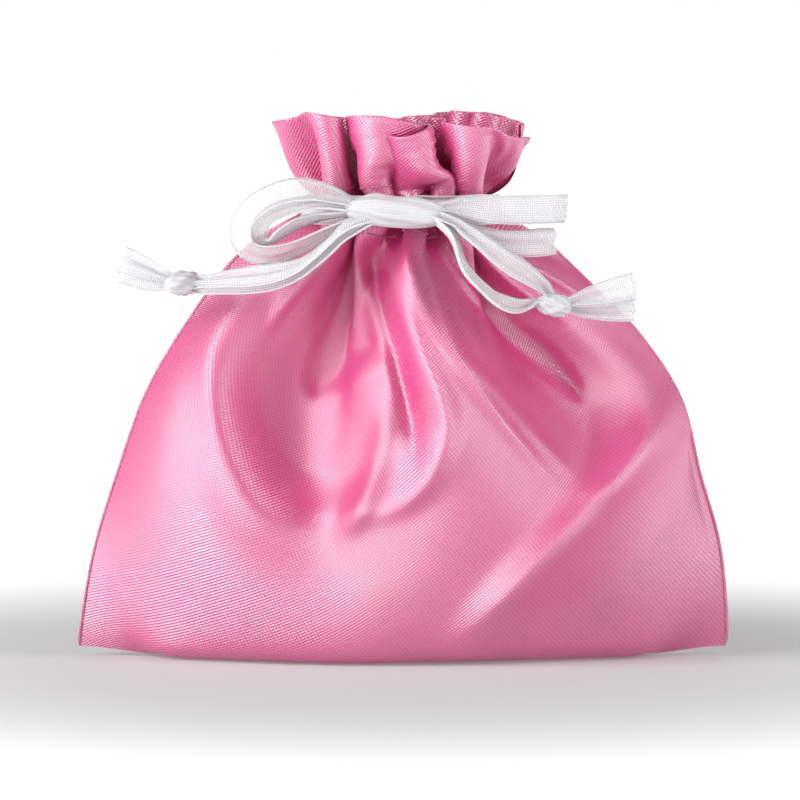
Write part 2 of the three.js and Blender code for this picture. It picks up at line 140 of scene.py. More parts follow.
class Shader:
    """A material's node tree, with short calls for adding and joining nodes."""

    def __init__(self, name):
        self.material = bpy.data.materials.new(name)
        self.material.use_nodes = True
        self.nodes = self.material.node_tree.nodes
        self.links = self.material.node_tree.links
        self.surface = self.nodes["Principled BSDF"]

    def set(self, **values):
        for name, value in values.items():
            self.surface.inputs[name.replace("_", " ")].default_value = value

    def join(self, output, target):
        self.links.new(output, target)

    def math(self, operation, first, second=0.0, clamp=False):
        node = self.nodes.new("ShaderNodeMath")
        node.operation = operation
        node.use_clamp = clamp
        for socket, value in zip(node.inputs, (first, second)):
            if isinstance(value, (int, float)):
                socket.default_value = value
            else:
                self.join(value, socket)
        return node.outputs[0]

    def uv(self):
        node = self.nodes.new("ShaderNodeUVMap")
        node.uv_map = "UV"
        split = self.nodes.new("ShaderNodeSeparateXYZ")
        self.join(node.outputs[0], split.inputs[0])
        return node.outputs[0], split.outputs["X"], split.outputs["Y"]

    def noise(self, scale, detail=3, vector=None):
        node = self.nodes.new("ShaderNodeTexNoise")
        node.inputs["Scale"].default_value = scale
        node.inputs["Detail"].default_value = detail
        if vector is None:
            vector = self.nodes.new("ShaderNodeTexCoord").outputs["Object"]
        self.join(vector, node.inputs["Vector"])
        return node.outputs["Fac"]

    def span(self, value, low, high):
        """value, from 0 to 1, spread from low to high."""
        node = self.nodes.new("ShaderNodeMapRange")
        node.inputs["To Min"].default_value = low
        node.inputs["To Max"].default_value = high
        self.join(value, node.inputs["Value"])
        return node.outputs["Result"]

    def wave(self, along, period, phase=0.0):
        """0 to 1 and back once in every period of a coordinate."""
        turn = self.math("ADD", self.math("MULTIPLY", along, 2 * math.pi / period), phase)
        return self.half(self.math("SINE", turn))

    def half(self, value):
        return self.math("ADD", self.math("MULTIPLY", value, 0.5), 0.5)

    def mix(self, share, first, second):
        node = self.nodes.new("ShaderNodeMix")
        node.data_type = "RGBA"
        self.join(share, node.inputs["Factor"])
        for socket, color in ((node.inputs["A"], first), (node.inputs["B"], second)):
            if isinstance(color, tuple):
                socket.default_value = (*color, 1)
            else:
                self.join(color, socket)
        return node.outputs["Result"]

    def bump(self, height, distance):
        node = self.nodes.new("ShaderNodeBump")
        node.inputs["Strength"].default_value = 1.0
        node.inputs["Distance"].default_value = distance * MILLIMETRE
        self.join(height, node.inputs["Height"])
        self.join(node.outputs[0], self.surface.inputs["Normal"])


TWILL_SPACING = 0.31       # millimetres between the satin's diagonal lines
TWILL_ANGLE = math.radians(34)
FLOAT_LENGTH = 0.42        # of one thread's float along a line
TWILL_WANDER = 0.3         # how far a line strays from straight


def satin_material(name, light, deep, roughness, anisotropy, relief):
    shader = Shader(name)
    vector, across, up = shader.uv()
    rise = shader.math("MULTIPLY", across, -math.sin(TWILL_ANGLE))
    line = shader.math("ADD", rise, shader.math("MULTIPLY", up, math.cos(TWILL_ANGLE)))
    run = shader.math("ADD", shader.math("MULTIPLY", across, math.cos(TWILL_ANGLE)),
                      shader.math("MULTIPLY", up, math.sin(TWILL_ANGLE)))
    wander = shader.math("MULTIPLY", shader.noise(0.08, 1, vector), TWILL_WANDER)
    ridges = shader.wave(shader.math("ADD", line, wander), TWILL_SPACING)
    floats = shader.wave(run, FLOAT_LENGTH)
    weave = shader.math("MULTIPLY", ridges, shader.span(floats, 0.45, 1.0))
    patches = shader.noise(0.12, 4, vector)
    shade = shader.math("ADD", shader.math("MULTIPLY", weave, 0.75), shader.math("MULTIPLY", patches, 0.3),
                        clamp=True)
    shader.join(shader.mix(shade, deep, light), shader.surface.inputs["Base Color"])
    slubs = shader.math("MULTIPLY", shader.noise(2.2, 2, vector), 0.12)
    gloss = shader.math("ADD", shader.span(weave, roughness + 0.2, roughness - 0.12), slubs)
    shader.join(gloss, shader.surface.inputs["Roughness"])
    shader.bump(weave, relief)
    shader.set(Specular_IOR_Level=1.0, IOR=2.2, Specular_Tint=(0.88, 0.96, 0.98, 1), Anisotropic=anisotropy)
    shader.set(Sheen_Weight=0.1, Sheen_Roughness=0.35, Sheen_Tint=(1.0, 0.86, 0.93, 1))
    return shader.material


WEAVE_SPACING = 0.24       # millimetres between the organza's threads
RIBBON_WIDTH = 3.3
SELVEDGE = 0.24            # of the ribbon's width at each side, woven solid
ORGANZA_COLORS = ((0.74, 0.73, 0.75), (0.86, 0.85, 0.87))      # between its threads, and on them
# How much the organza covers, between its threads and on them: free, in the tails, in knots, in the casing
SHEER_COVER, LAYERED_COVER = (0.25, 0.62), (0.42, 0.78)
BUNCHED_COVER, CASING_COVER = (0.93, 1.0), (0.22, 0.62)


def organza_material(name, thin, thick, relief=0.04, shade_tone=1.0):
    """Sheer plain weave. Its UV map is millimetres along the ribbon, and across it from the middle."""
    shader = Shader(name)
    vector, along, across = shader.uv()
    weft = shader.wave(shader.math("ADD", along, shader.noise(0.8, 2, vector)), WEAVE_SPACING)
    warp = shader.wave(across, WEAVE_SPACING * 1.1)
    threads = shader.math("MAXIMUM", shader.math("POWER", weft, 1.6), shader.math("POWER", warp, 2.2))
    from_middle = shader.math("ABSOLUTE", across)
    inside = RIBBON_WIDTH / 2 - SELVEDGE
    edge = shader.math("MULTIPLY", shader.math("SUBTRACT", from_middle, inside), 8.0, clamp=True)
    cloud = shader.span(shader.noise(0.5, 3, vector), -0.1, 0.12)
    body = shader.math("ADD", shader.span(threads, thin, thick), cloud)
    cover = shader.math("MAXIMUM", body, edge, clamp=True)
    shader.join(cover, shader.surface.inputs["Alpha"])
    # A tone below 1 darkens the organza's colours as painted shade. It is used on the knots so that they
    # don't show too bright under the lights.
    between, on_thread = (tuple(shade_tone * value for value in color) for color in ORGANZA_COLORS)
    shader.join(shader.mix(threads, between, on_thread), shader.surface.inputs["Base Color"])
    height = shader.math("ADD", threads, shader.math("MULTIPLY", edge, 2.0))
    shader.bump(height, relief)
    shader.set(Roughness=0.5, Specular_IOR_Level=0.4, Sheen_Weight=0.3, Sheen_Roughness=0.4)
    return shader.material


def thread_material(name, light, deep):
    shader = Shader(name)
    _, along, around = shader.uv()
    twist = shader.wave(shader.math("ADD", along, around), 0.35)
    shader.join(shader.mix(twist, deep, light), shader.surface.inputs["Base Color"])
    shader.bump(twist, 0.04)
    shader.set(Roughness=0.6, Sheen_Weight=0.3)
    return shader.material


FLOOR_GLOW = 0.16          # near the pouch, where its shadow falls
GLOW_STARTS, GLOW_FULL = 0.042, 0.16          # metres from the pouch's middle


def floor_material():
    """Pale near the pouch, and glowing white further off, so that no horizon shows."""
    shader = Shader("floor")
    where = shader.nodes.new("ShaderNodeTexCoord").outputs["Object"]
    length = shader.nodes.new("ShaderNodeVectorMath")
    length.operation = "LENGTH"
    shader.join(where, length.inputs[0])
    far = shader.nodes.new("ShaderNodeMapRange")
    far.interpolation_type = "SMOOTHSTEP"
    far.inputs["From Min"].default_value = GLOW_STARTS
    far.inputs["From Max"].default_value = GLOW_FULL
    shader.join(length.outputs["Value"], far.inputs["Value"])
    glow = shader.span(far.outputs["Result"], FLOOR_GLOW, 1.0)
    shader.join(glow, shader.surface.inputs["Emission Strength"])
    shader.set(Emission_Color=(1, 1, 1, 1), Base_Color=(0.55, 0.57, 0.57, 1), Roughness=0.9)
    shader.set(Specular_IOR_Level=0.1)
    return shader.material


# ----------------------------------------
# Meshes

def make_piece(name, points, faces, material, uvs=None):
    """A mesh object from millimetre points. uvs has one pair for each point."""
    mesh = bpy.data.meshes.new(name)
    mesh.from_pydata((np.asarray(points) * MILLIMETRE).tolist(), [], faces)
    mesh.validate()
    mesh.update()
    mesh.shade_smooth()
    if uvs is not None:
        layer = mesh.uv_layers.new(name="UV")
        corners = np.zeros(len(mesh.loops), np.int32)
        mesh.loops.foreach_get("vertex_index", corners)
        layer.data.foreach_set("uv", np.asarray(uvs, float)[corners].astype(np.float32).ravel())
    piece = bpy.data.objects.new(name, mesh)
    bpy.context.scene.collection.objects.link(piece)
    mesh.materials.append(material)
    return piece


def stand_for(piece, slot, body, *nodes):
    """Hides the CAD nodes that a piece replaces, and attaches the piece to the body that it rides on. slot is
    not used.
    """
    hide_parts(*nodes)
    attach(piece, body)


def grid_faces(rows, columns, flip=False):
    """Quads between rows x columns points, counted row by row."""
    index = np.arange(rows * columns).reshape(rows, columns)
    quads = np.stack([index[:-1, :-1], index[:-1, 1:], index[1:, 1:], index[1:, :-1]], -1).reshape(-1, 4)
    return (quads[:, ::-1] if flip else quads).tolist()


def ring_faces(rings, around):
    """Quads between closed rings of an even number of points, with both ends closed."""
    index = np.arange(rings * around).reshape(rings, around)
    after = np.roll(index, -1, axis=1)
    quads = np.stack([index[:-1], after[:-1], after[1:], index[1:]], -1).reshape(-1, 4).tolist()
    half = around // 2
    for ring, turned in ((index[0], True), (index[-1], False)):
        caps = [[ring[j], ring[j + 1], ring[around - 2 - j], ring[around - 1 - j]] for j in range(half - 1)]
        quads += [[int(corner) for corner in (cap[::-1] if turned else cap)] for cap in caps]
    return quads


def smooth_step(low, high, value):
    t = np.clip((value - low) / (high - low), 0, 1)
    return t * t * (3 - 2 * t)


def along_line(points, count):
    """count points evenly along a polyline."""
    points = np.asarray(points, float)
    steps = np.linalg.norm(np.diff(points[:, :3], axis=0), axis=1)
    distance = np.r_[0, np.cumsum(steps)]
    places = np.linspace(0, distance[-1], count)
    return np.stack([np.interp(places, distance, column) for column in points.T], 1)


def smooth_curve(points, count):
    """count points evenly along a smooth curve through the points (Catmull-Rom)."""
    points = np.asarray(points, float)
    points = np.vstack([2 * points[0] - points[1], points, 2 * points[-1] - points[-2]])
    t = np.linspace(0, 1, 24, endpoint=False)[:, None]
    stretches = []
    for before, start, end, after in zip(points, points[1:], points[2:], points[3:]):
        stretches.append(0.5 * (2 * start + (end - before) * t
                                + (2 * before - 5 * start + 4 * end - after) * t ** 2
                                + (3 * start - before - 3 * end + after) * t ** 3))
    return along_line(np.vstack(stretches + [points[-2:-1]]), count)


def unit(vectors):
    return vectors / (np.linalg.norm(vectors, axis=-1, keepdims=True) + 1e-12)


# ----------------------------------------
# Ribbons: stations are [x, y, z, width, across x, across y, across z], as in the CAD

LEFT_LOOP_A = [
    [-5.6, -11.9, 53.5, 1.8, 0, 1, 0.3],
    [-7.6, -12.3, 54.2, 2.6, 0, 1, 0.6],
    [-9.9, -12.6, 54.8, 3.3, 0, 0.8, 0.7],
    [-12.4, -12.8, 54.9, 3.3, -0.1, 0.6, 0.8],
    [-14.8, -12.8, 54.3, 3.3, -0.3, 0.6, 0.7],
    [-16.9, -12.6, 53.1, 3.3, -0.6, 0.6, 0.5],
    [-18.3, -12.3, 51.5, 3.3, -0.8, 0.6, 0.1],
    [-18.7, -12, 49.8, 3.2, -0.8, 0.6, -0.1],
    [-18.1, -11.8, 48.2, 3, -0.5, 0.7, -0.5],
    [-16.5, -11.7, 47.4, 3, -0.2, 0.7, -0.6],
    [-14.4, -11.6, 47.4, 3, 0.1, 0.7, -0.6],
    [-12.2, -11.4, 48.1, 2.8, 0.1, 0.8, -0.5],
    [-9.9, -11.1, 49.2, 2.4, 0.2, 0.9, -0.4],
    [-7.6, -10.9, 50.4, 2, 0.1, 1, -0.2],
    [-5.6, -10.8, 51.3, 1.6, 0, 1, 0],
]
LEFT_LOOP_B = [
    [-5.6, -11.6, 52.8, 1.8, 0, 1, 0.2],
    [-7.6, -11.8, 53.2, 2.2, 0, 1, 0.3],
    [-9.8, -11.9, 53.5, 2.6, 0, 0.9, 0.4],
    [-12.2, -11.8, 53.1, 2.8, 0, 0.8, 0.5],
    [-14.3, -11.6, 52.5, 2.8, -0.2, 0.8, 0.5],
    [-16, -11.3, 51.4, 2.8, -0.5, 0.8, 0.3],
    [-16.5, -11.1, 50, 2.6, -0.7, 0.7, 0],
    [-16.1, -11, 48.9, 2.2, -0.3, 0.9, -0.2],
    [-15.1, -11, 48.9, 2.2, 0.3, 0.9, 0.1],
    [-14, -11, 49.8, 2.4, 0.3, 0.9, -0.1],
    [-12.2, -11, 50.9, 2.4, 0.1, 0.9, -0.3],
    [-9.8, -11, 51.6, 2.2, 0, 0.9, -0.2],
    [-7.6, -11.1, 51.9, 2, 0, 1, 0],
    [-5.6, -11.2, 52, 1.8, 0, 1, 0],
]
RIGHT_LOOP_A = [
    [5.3, -12.4, 53, 1.6, 0, 0.1, 1],
    [7.2, -12.9, 53, 2.6, 0, 0.1, 1],
    [9.4, -13.3, 52.8, 3.2, 0, 0.1, 1],
    [12, -13.4, 52.6, 3.3, 0, 0, 1],
    [15, -13.2, 52.6, 3.3, 0, 0, 1],
    [17.4, -12.9, 52.7, 3.3, 0.1, 0, 1],
    [18.6, -12.1, 52.7, 3.3, 0.1, 0, 1],
    [18.2, -11.1, 52.7, 3.3, 0.1, 0, 1],
    [16.2, -10.5, 52.6, 3.3, 0, 0, 1],
    [12.6, -10.2, 52.6, 3.2, 0, 0, 1],
    [9.2, -10.2, 52.7, 2.6, 0, 0, 1],
    [5.3, -10.5, 52.9, 1.6, 0, 0, 1],
]
RIGHT_LOOP_B = [
    [5.3, -12.2, 51.2, 1.2, 0, 0.1, 1],
    [7, -12.6, 50.3, 1.8, 0.2, 0.1, 1],
    [9.2, -12.8, 49.4, 2.4, 0.2, 0.1, 1],
    [12, -12.8, 48.8, 2.8, 0.1, 0, 1],
    [14.8, -12.6, 48.7, 3, 0, 0, 1],
    [16.8, -12.2, 48.9, 3, 0, 0, 1],
    [17.3, -11.5, 49, 3, 0, 0, 1],
    [16.4, -11, 49, 3, 0, 0, 1],
    [14.2, -10.8, 48.9, 2.8, 0, 0, 1],
    [11.4, -10.7, 49, 2.4, 0.1, 0, 1],
    [8.4, -10.6, 50, 1.8, 0.2, 0, 1],
    [5.3, -10.5, 51.1, 1.2, 0, 0, 1],
]
LEFT_TAIL_A = [
    [-5.3, -13.3, 51.4, 1.6, 0, 1, 0.3],
    [-7, -13.6, 50.5, 2, 0.2, 1, 0.3],
    [-8.6, -13.7, 49, 2.2, 0.3, 1, 0.3],
    [-10.4, -13.6, 47.4, 2.4, 0.2, 1, 0.3],
    [-12.4, -13.2, 46.1, 2.6, 0.1, 1, 0.5],
    [-15, -12.4, 45.3, 2.8, 0, 0.8, 0.7],
    [-17.6, -11.2, 44.9, 2.8, 0, 0.8, 0.7],
    [-20, -9.8, 44.6, 2.2, 0, 0.8, 0.7],
    [-22, -8.6, 44.3, 1.8, 0, 0.8, 0.7],
    [-23.4, -7.8, 44.2, 1.6, 0, 0.8, 0.7],
]
LEFT_TAIL_B = [
    [-5.3, -12.5, 50.6, 1.4, 0, 1, 0.3],
    [-6.9, -12.9, 49.5, 1.8, 0.2, 1, 0.3],
    [-8.4, -13, 48, 2, 0.3, 1, 0.3],
    [-10.2, -12.9, 46.5, 2.2, 0.2, 1, 0.3],
    [-12.3, -12.4, 45.2, 2.4, 0.1, 1, 0.5],
    [-14.9, -11.6, 44.4, 2.6, 0, 0.8, 0.7],
    [-17.4, -10.4, 44, 2.6, 0, 0.8, 0.7],
    [-19.8, -9.1, 43.7, 2, 0, 0.8, 0.7],
    [-21.8, -8, 43.5, 1.6, 0, 0.8, 0.7],
    [-23.4, -7.2, 43.4, 1.4, 0, 0.8, 0.7],
]
RIGHT_TAIL_A = [
    [4.9, -13.3, 50.2, 1.2, 0.3, 1, 0],
    [5.8, -13.8, 48.9, 1.8, 0.3, 1, 0],
    [6.4, -14.4, 47.1, 2.4, 0.3, 1, 0],
    [7.4, -14.9, 45.4, 2.8, 0.3, 1, 0.2],
    [8.9, -15.1, 43.9, 3, 0.2, 1, 0.3],
    [10.7, -14.9, 42.4, 2.8, 0, 0.8, 0.6],
    [12.7, -14.2, 41.7, 2.2, 0, 0.5, 0.9],
    [14.3, -13.4, 41.7, 1.6, 0, 0.8, 0.6],
    [15.3, -12.9, 41.8, 1.2, 0, 1, 0.2],
]
RIGHT_TAIL_B = [
    [5.8, -13.7, 51.3, 1.2, 0, 0.5, 1],
    [7.2, -14.3, 50.3, 1.8, 0.3, 0.4, 0.9],
    [9, -14.6, 49, 2.2, 0.5, 0.4, 0.8],
    [10.9, -14.6, 47.5, 2.6, 0.5, 0.4, 0.8],
    [12.8, -14.3, 46.2, 2.8, 0.5, 0.4, 0.8],
    [14.5, -13.8, 45.1, 2.6, 0.5, 0.5, 0.7],
    [15.8, -13.2, 44.1, 2, 0.7, 0.5, 0.5],
    [16.5, -12.7, 43.4, 1.6, 0.9, 0.4, 0.1],
]
LEFT_CUT_A = [
    [-27.5, -6.5, 44.6, 1.6, 0, 0.3, 1],
    [-29.4, -5.9, 45.3, 2.6, 0.2, 0.3, 1],
    [-32.6, -5.2, 46.6, 3.3, 0.2, 0.2, 1],
]
LEFT_CUT_B = [
    [-27.5, -5.9, 43.8, 1.6, 0, 0.3, 1],
    [-29.4, -5.2, 44.2, 2.6, 0.1, 0.3, 1],
    [-32.3, -4.4, 45.2, 3.3, 0.2, 0.2, 1],
]
RIGHT_CUT_A = [
    [19.3, -12.4, 42.1, 1.4, -0.2, 0.2, 1],
    [21.4, -12.3, 42.6, 2.4, -0.2, 0.2, 1],
    [24, -12.1, 43.2, 3.1, -0.3, 0.1, 1],
    [26.6, -11.9, 43.8, 3.3, -0.3, 0.1, 1],
]
RIGHT_CUT_B = [
    [19.3, -11.8, 41.2, 1.4, 0, 0.2, 1],
    [21.4, -11.5, 41.1, 2.2, 0, 0.2, 1],
    [24, -11.3, 41.1, 2.8, 0, 0.2, 1],
    [26.6, -11.1, 41.2, 3, 0.1, 0.2, 1],
]

RIBBON_STEP = 0.3          # millimetres between a ribbon's rings
ACROSS = 14                # spaces across a ribbon
FILM = 0.07                # half the ribbon's thickness in the middle
ROLL = 0.1                 # and at its selvedges


def ribbon_section(width, folds, cup):
    """How far across and how far out each point across a ribbon lies, when it is drawn in to width."""
    s = np.linspace(-1, 1, ACROSS + 1)
    spare = max((RIBBON_WIDTH / width) ** 2 - 1, 0)
    depth = width / (folds * math.pi) * math.sqrt(2 * spare)
    depth = min(depth, 0.7)
    wave = depth * np.sin(folds * math.pi * (s + 1) / 2 + 0.6)
    return s * width / 2, wave + cup * (1 - s * s)


def ribbon_rings(stations, cup=0.25, folds=3, ragged=0.0):
    stations = np.asarray(stations, float)
    stations[:, 4:7] = unit(stations[:, 4:7])
    length = np.linalg.norm(np.diff(stations[:, :3], axis=0), axis=1).sum()
    count = max(int(length / RIBBON_STEP), 6)
    line = smooth_curve(stations, count)
    centre, width = line[:, :3], line[:, 3]
    tangent = unit(np.gradient(centre, axis=0))
    across = line[:, 4:7]
    across = unit(across - (across * tangent).sum(1, keepdims=True) * tangent)
    out = np.cross(tangent, across)
    s = np.linspace(-1, 1, ACROSS + 1)
    half = FILM + (ROLL - FILM) * smooth_step(0.78, 1, np.abs(s))
    rings = []
    for k in range(count):
        side, lift = ribbon_section(width[k], folds, cup)
        middle = centre[k] + np.outer(side, across[k]) + np.outer(lift, out[k])
        thick = half[:, None] * out[k]
        rings.append(np.vstack([middle + thick, (middle - thick)[::-1]]))
    rings = np.array(rings)
    if ragged > 0:
        fray = np.convolve(rng.uniform(-ragged, ragged, ACROSS + 3), [0.3, 0.6, 0.3], "valid")
        fray = np.r_[fray, fray[::-1]]
        reach = smooth_step(count - 8, count - 1, np.arange(count))
        rings += reach[:, None, None] * fray[None, :, None] * tangent[-1]
    distance = np.r_[0, np.cumsum(np.linalg.norm(np.diff(centre, axis=0), axis=1))]
    place = np.r_[s, s[::-1]] * RIBBON_WIDTH / 2
    uvs = np.stack(np.broadcast_arrays(distance[:, None], place[None, :]), -1)
    return rings, uvs.reshape(-1, 2), centre


def make_ribbon(name, stations, material, cup=0.25, folds=3, ragged=0.0):
    rings, uvs, centre = ribbon_rings(stations, cup, folds, ragged)
    piece = make_piece(name, rings.reshape(-1, 3), ring_faces(*rings.shape[:2]), material, uvs)
    return piece, centre * MILLIMETRE


NECK_LOW, NECK_HIGH = (np.array(corner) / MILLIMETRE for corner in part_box("front_casing"))
NECK_HALF_WIDTH = NECK_HIGH[0]
NECK_FRONT = NECK_LOW[1]
RIBBON_LINE = (NECK_LOW[2] + NECK_HIGH[2]) / 2 - 0.3


# How a ribbon turns inside the bow's knot, as (x, y) on the right side
KNOT_TURN = [(1.9, -10.2), (0.9, -10.4), (0.7, -10.9), (1.5, -11.2)]


def feed_stations(side, layer):
    """From the slit at one side, forward round the outside of the neck, and in behind the bow's knot."""
    stations = []
    clear = 0.55 + 0.7 * layer
    for turn in np.linspace(0.08, math.pi / 2 - 0.1, 6):
        x = side * (NECK_HALF_WIDTH + clear) * math.cos(turn)
        y = (NECK_FRONT - clear) * math.sin(turn) - 0.35 * math.cos(turn)
        stations.append([x, y, RIBBON_LINE + 0.3 - 0.5 * layer, 2.9, 0, 0, 1])
    for x, y in KNOT_TURN:
        stations.append([side * x, y, RIBBON_LINE, 1.8, 0, 0, 1])
    return stations


def add_strand(name, side, layer, loop, material):
    """A drawstring end from the casing's slit to the knot and on round its loop, back to the knot."""
    label = "left" if side < 0 else "right"
    inside_knot = [[side * 3.4, (loop[0][1] - 10.6) / 2, (loop[0][2] + RIBBON_LINE) / 2, 1.6, 0, 0.6, 0.8]]
    back_inside = [[side * 3.2, -11.2, 52.2, 1.5, 0, 0.6, 0.8]]
    stations = feed_stations(side, layer) + inside_knot + loop + back_inside
    piece, path = make_ribbon(name, stations, material, cup=0.22)
    letter = name[-1]
    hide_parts(f"{label}_feed_strand_{letter}", f"{label}_loop_{letter}")
    return piece, path


def add_tail(name, body, tail, knot, cut, nodes, material):
    """A strand from the bow's knot, through its tail's own knot, to the cut end."""
    side = -1 if body.startswith("left") else 1
    inside_knot = [[side * 2.6, -11.9, 52.1, 1.6, 0, 1, 0.3]]
    through = [[*knot, 1.4, 0, 0.6, 0.8]]
    piece, _ = make_ribbon(name, inside_knot + tail + through + cut, material, cup=0.2, ragged=0.3)
    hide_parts(*nodes)
    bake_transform(piece)
    return piece


BUNCHED = 1.9              # how many times closer together the threads lie in a knot


def lump(name, centre, half, turn_z, turn_y, material, creases=7, crease_depth=0.08, twist=0.8, blunt=2.2,
         bumps=()):
    """A drawn-up bunch of ribbon: long along X, with creases that run from end to end and twist a little."""
    rings, around = 56, 72           # lengthwise and round about
    t = np.linspace(-0.995, 0.995, rings)[:, None]
    angle = np.linspace(0, 2 * np.pi, around, endpoint=False)[None, :]
    shape = (1 - np.abs(t) ** blunt) ** 0.5
    crease = np.cos(creases * angle + twist * t * 3) + 0.6 * np.cos((creases + 4) * angle - twist * t * 5 + 1)
    radius = shape * (1 + crease_depth * crease)
    x = half[0] * t + 0 * angle
    y = half[1] * radius * np.cos(angle)
    z = half[2] * radius * np.sin(angle)
    for bump_x, bump_angle, size, height in bumps:
        past = (angle - bump_angle + np.pi) % (2 * np.pi) - np.pi
        near = np.exp(-((t - bump_x) / size) ** 2 - (past / size) ** 2)
        y = y + height * near * np.cos(angle)
        z = z + height * near * np.sin(angle)
    points = np.stack([x, y, z], -1).reshape(-1, 3)
    cos_y, sin_y = math.cos(turn_y), math.sin(turn_y)
    cos_z, sin_z = math.cos(turn_z), math.sin(turn_z)
    turned = points @ np.array([[cos_y, 0, sin_y], [0, 1, 0], [-sin_y, 0, cos_y]]).T
    turned = turned @ np.array([[cos_z, -sin_z, 0], [sin_z, cos_z, 0], [0, 0, 1]]).T
    uvs = np.stack(np.broadcast_arrays(x * BUNCHED, np.sin(angle) * 0.7 * BUNCHED + 0 * t), -1).reshape(-1, 2)
    return make_piece(name, turned + np.array(centre), ring_faces(rings, around), material, uvs)


BOW_KNOT = [-0.7, -11.8, 52.3]
LEFT_TAIL_KNOT = [-25.4, -6.9, 43.9]
RIGHT_TAIL_KNOT = [17.3, -12.4, 41.7]


def add_ribbons():
    sheer = organza_material("organza_sheer", *SHEER_COVER)
    layered = organza_material("organza_layered", *LAYERED_COVER)
    # The knots' organza is bunched, so it covers more, and its colours are darkened by a tone of 0.8 as
    # painted shade.
    dense_shaded = organza_material("organza_bunched_shaded", *BUNCHED_COVER, relief=0.012, shade_tone=0.8)
    strands = {
        "left_ribbon_a": (-1, 0, LEFT_LOOP_A),
        "left_ribbon_b": (-1, 1, LEFT_LOOP_B),
        "right_ribbon_a": (1, 0, RIGHT_LOOP_A),
        "right_ribbon_b": (1, 1, RIGHT_LOOP_B),
    }
    tails = {
        "left_tail_a": ("left_tail", LEFT_TAIL_A, LEFT_TAIL_KNOT, LEFT_CUT_A,
                        ["left_tail_strand_a", "left_cut_end_a"]),
        "left_tail_b": ("left_tail", LEFT_TAIL_B, LEFT_TAIL_KNOT, LEFT_CUT_B,
                        ["left_tail_strand_b", "left_cut_end_b"]),
        "right_tail_a": ("right_tail", RIGHT_TAIL_A, RIGHT_TAIL_KNOT, RIGHT_CUT_A,
                         ["right_tail_strand_a", "right_cut_end_a"]),
        "right_tail_b": ("right_tail", RIGHT_TAIL_B, RIGHT_TAIL_KNOT, RIGHT_CUT_B,
                         ["right_tail_strand_b", "right_cut_end_b"]),
    }
    bow_knot = lump("bow_knot_wrap", BOW_KNOT, [6.1, 1.8, 1.7], 0, 0.07, dense_shaded, creases=3,
                    crease_depth=0.075, twist=0.6, blunt=3.0,
                    bumps=[(-0.45, 1.5, 0.25, 0.45), (0.3, 1.4, 0.22, 0.35), (-0.1, 3.4, 0.3, 0.35)])
    left_knot = lump("left_tail_knot_wrap", LEFT_TAIL_KNOT, [2.3, 1.4, 1.4], 0.5, -0.1, dense_shaded, creases=5,
                     crease_depth=0.08, twist=1.6)
    right_knot = lump("right_tail_knot_wrap", RIGHT_TAIL_KNOT, [2.1, 1.4, 1.3], 0.1, 0.1, dense_shaded, creases=5,
                      crease_depth=0.08, twist=1.6)
    for knot, node, body in ((bow_knot, "bow_knot", "pouch"), (left_knot, "left_tail_knot", "left_tail"),
                             (right_knot, "right_tail_knot", "right_tail")):
        stand_for(knot, "organza", body, node)
    tail_pieces = {name: add_tail(name, *facts, layered) for name, facts in tails.items()}
    for name, (side, layer, loop) in strands.items():
        piece, path = add_strand(name, side, layer, loop, sheer)
        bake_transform(piece)


# ----------------------------------------
# The cloth, simulated in millimetres on a grid of points for each side: 0 is the front and 1 the back

FLAT_WIDTH = 80.0          # one panel between its side seams
TO_RIBBON = 63.8           # cloth from the bottom seam up to the ribbons' line
HEADER = 11.8              # from there up to the header's fold
FLAT_HEIGHT = TO_RIBBON + HEADER
SIDES = (-1, 1)
NECK_MIDDLE = (7.6, 4.9)   # half-axes of the middle of the neck's pleats
HEADER_MIDDLE = (12.2, 6.2)
HEADER_REACH = 9.4         # how high the back header's fold stands over the ribbons' line
BACK_RISE = (8.0, 5.0, 1.5)          # and where it stands higher: from the middle, half-width, height
# The fold along the top of the front header, from the left slit to the right one
HEADER_LINE = [(-15.3, -0.8, 62.6), (-13.7, -5, 63.5), (-10.6, -8.4, 64.3), (-7.7, -7.6, 63.2),
               (-7.2, -3, 62.4), (-7.4, 0.6, 62), (-6.6, -3, 62.4), (-6.4, -7.6, 62.8), (-4.5, -9.6, 63),
               (-1.5, -10, 62.8),
               (1, -9.2, 62.4), (2.3, -7.6, 61.9), (0.8, -6, 61.5), (-1.2, -6.8, 61.2), (-1.5, -9.6, 60.8),
               (0.5, -10.5, 60.8), (2.9, -10, 60.9), (3.5, -6.5, 61.3), (3.2, -2.5, 61.6), (4.2, -7, 62.1),
               (6.5, -9.5, 62.3), (9.5, -9.3, 61.7), (12.5, -7.3, 61), (14.5, -3.5, 60.3)]
# Share of a cloth that each pleat of the neck takes, from left to right
FRONT_PLEATS = [0.17, 0.26, 0.12, 0.11, 0.22, 0.12]
BACK_PLEATS = [0.15, 0.17, 0.14, 0.18, 0.16, 0.20]
# The side seams' outlines: distance from the middle, and height
LEFT_SEAM = [(38.0, 1.0), (37.7, 4.0), (36.1, 12.7), (33.1, 22.4), (30.2, 30.4), (26.4, 37.2),
             (20.6, 45.4), (16.6, 49.2), (12.4, 51.6), (10.4, 52.3)]
RIGHT_SEAM = [(37.8, 1.0), (38.0, 4.0), (37.1, 13.0), (34.8, 21.3), (32.5, 30.1), (27.5, 37.8),
              (20.9, 44.5), (16.7, 48.5), (12.4, 51.4), (10.4, 52.3)]
BASE_DEPTH = 10            # of cloth that starts flat under the filling
CORNER_REACH = 15          # of the patch that rounds off each corner of the base
CORNER_LIFT = 0.9          # height of the corners over the table
LIFT_REACH = 10            # of cloth over which a corner comes down
SIDES_APART = 0.15         # that the front and the back keep from the middle plane

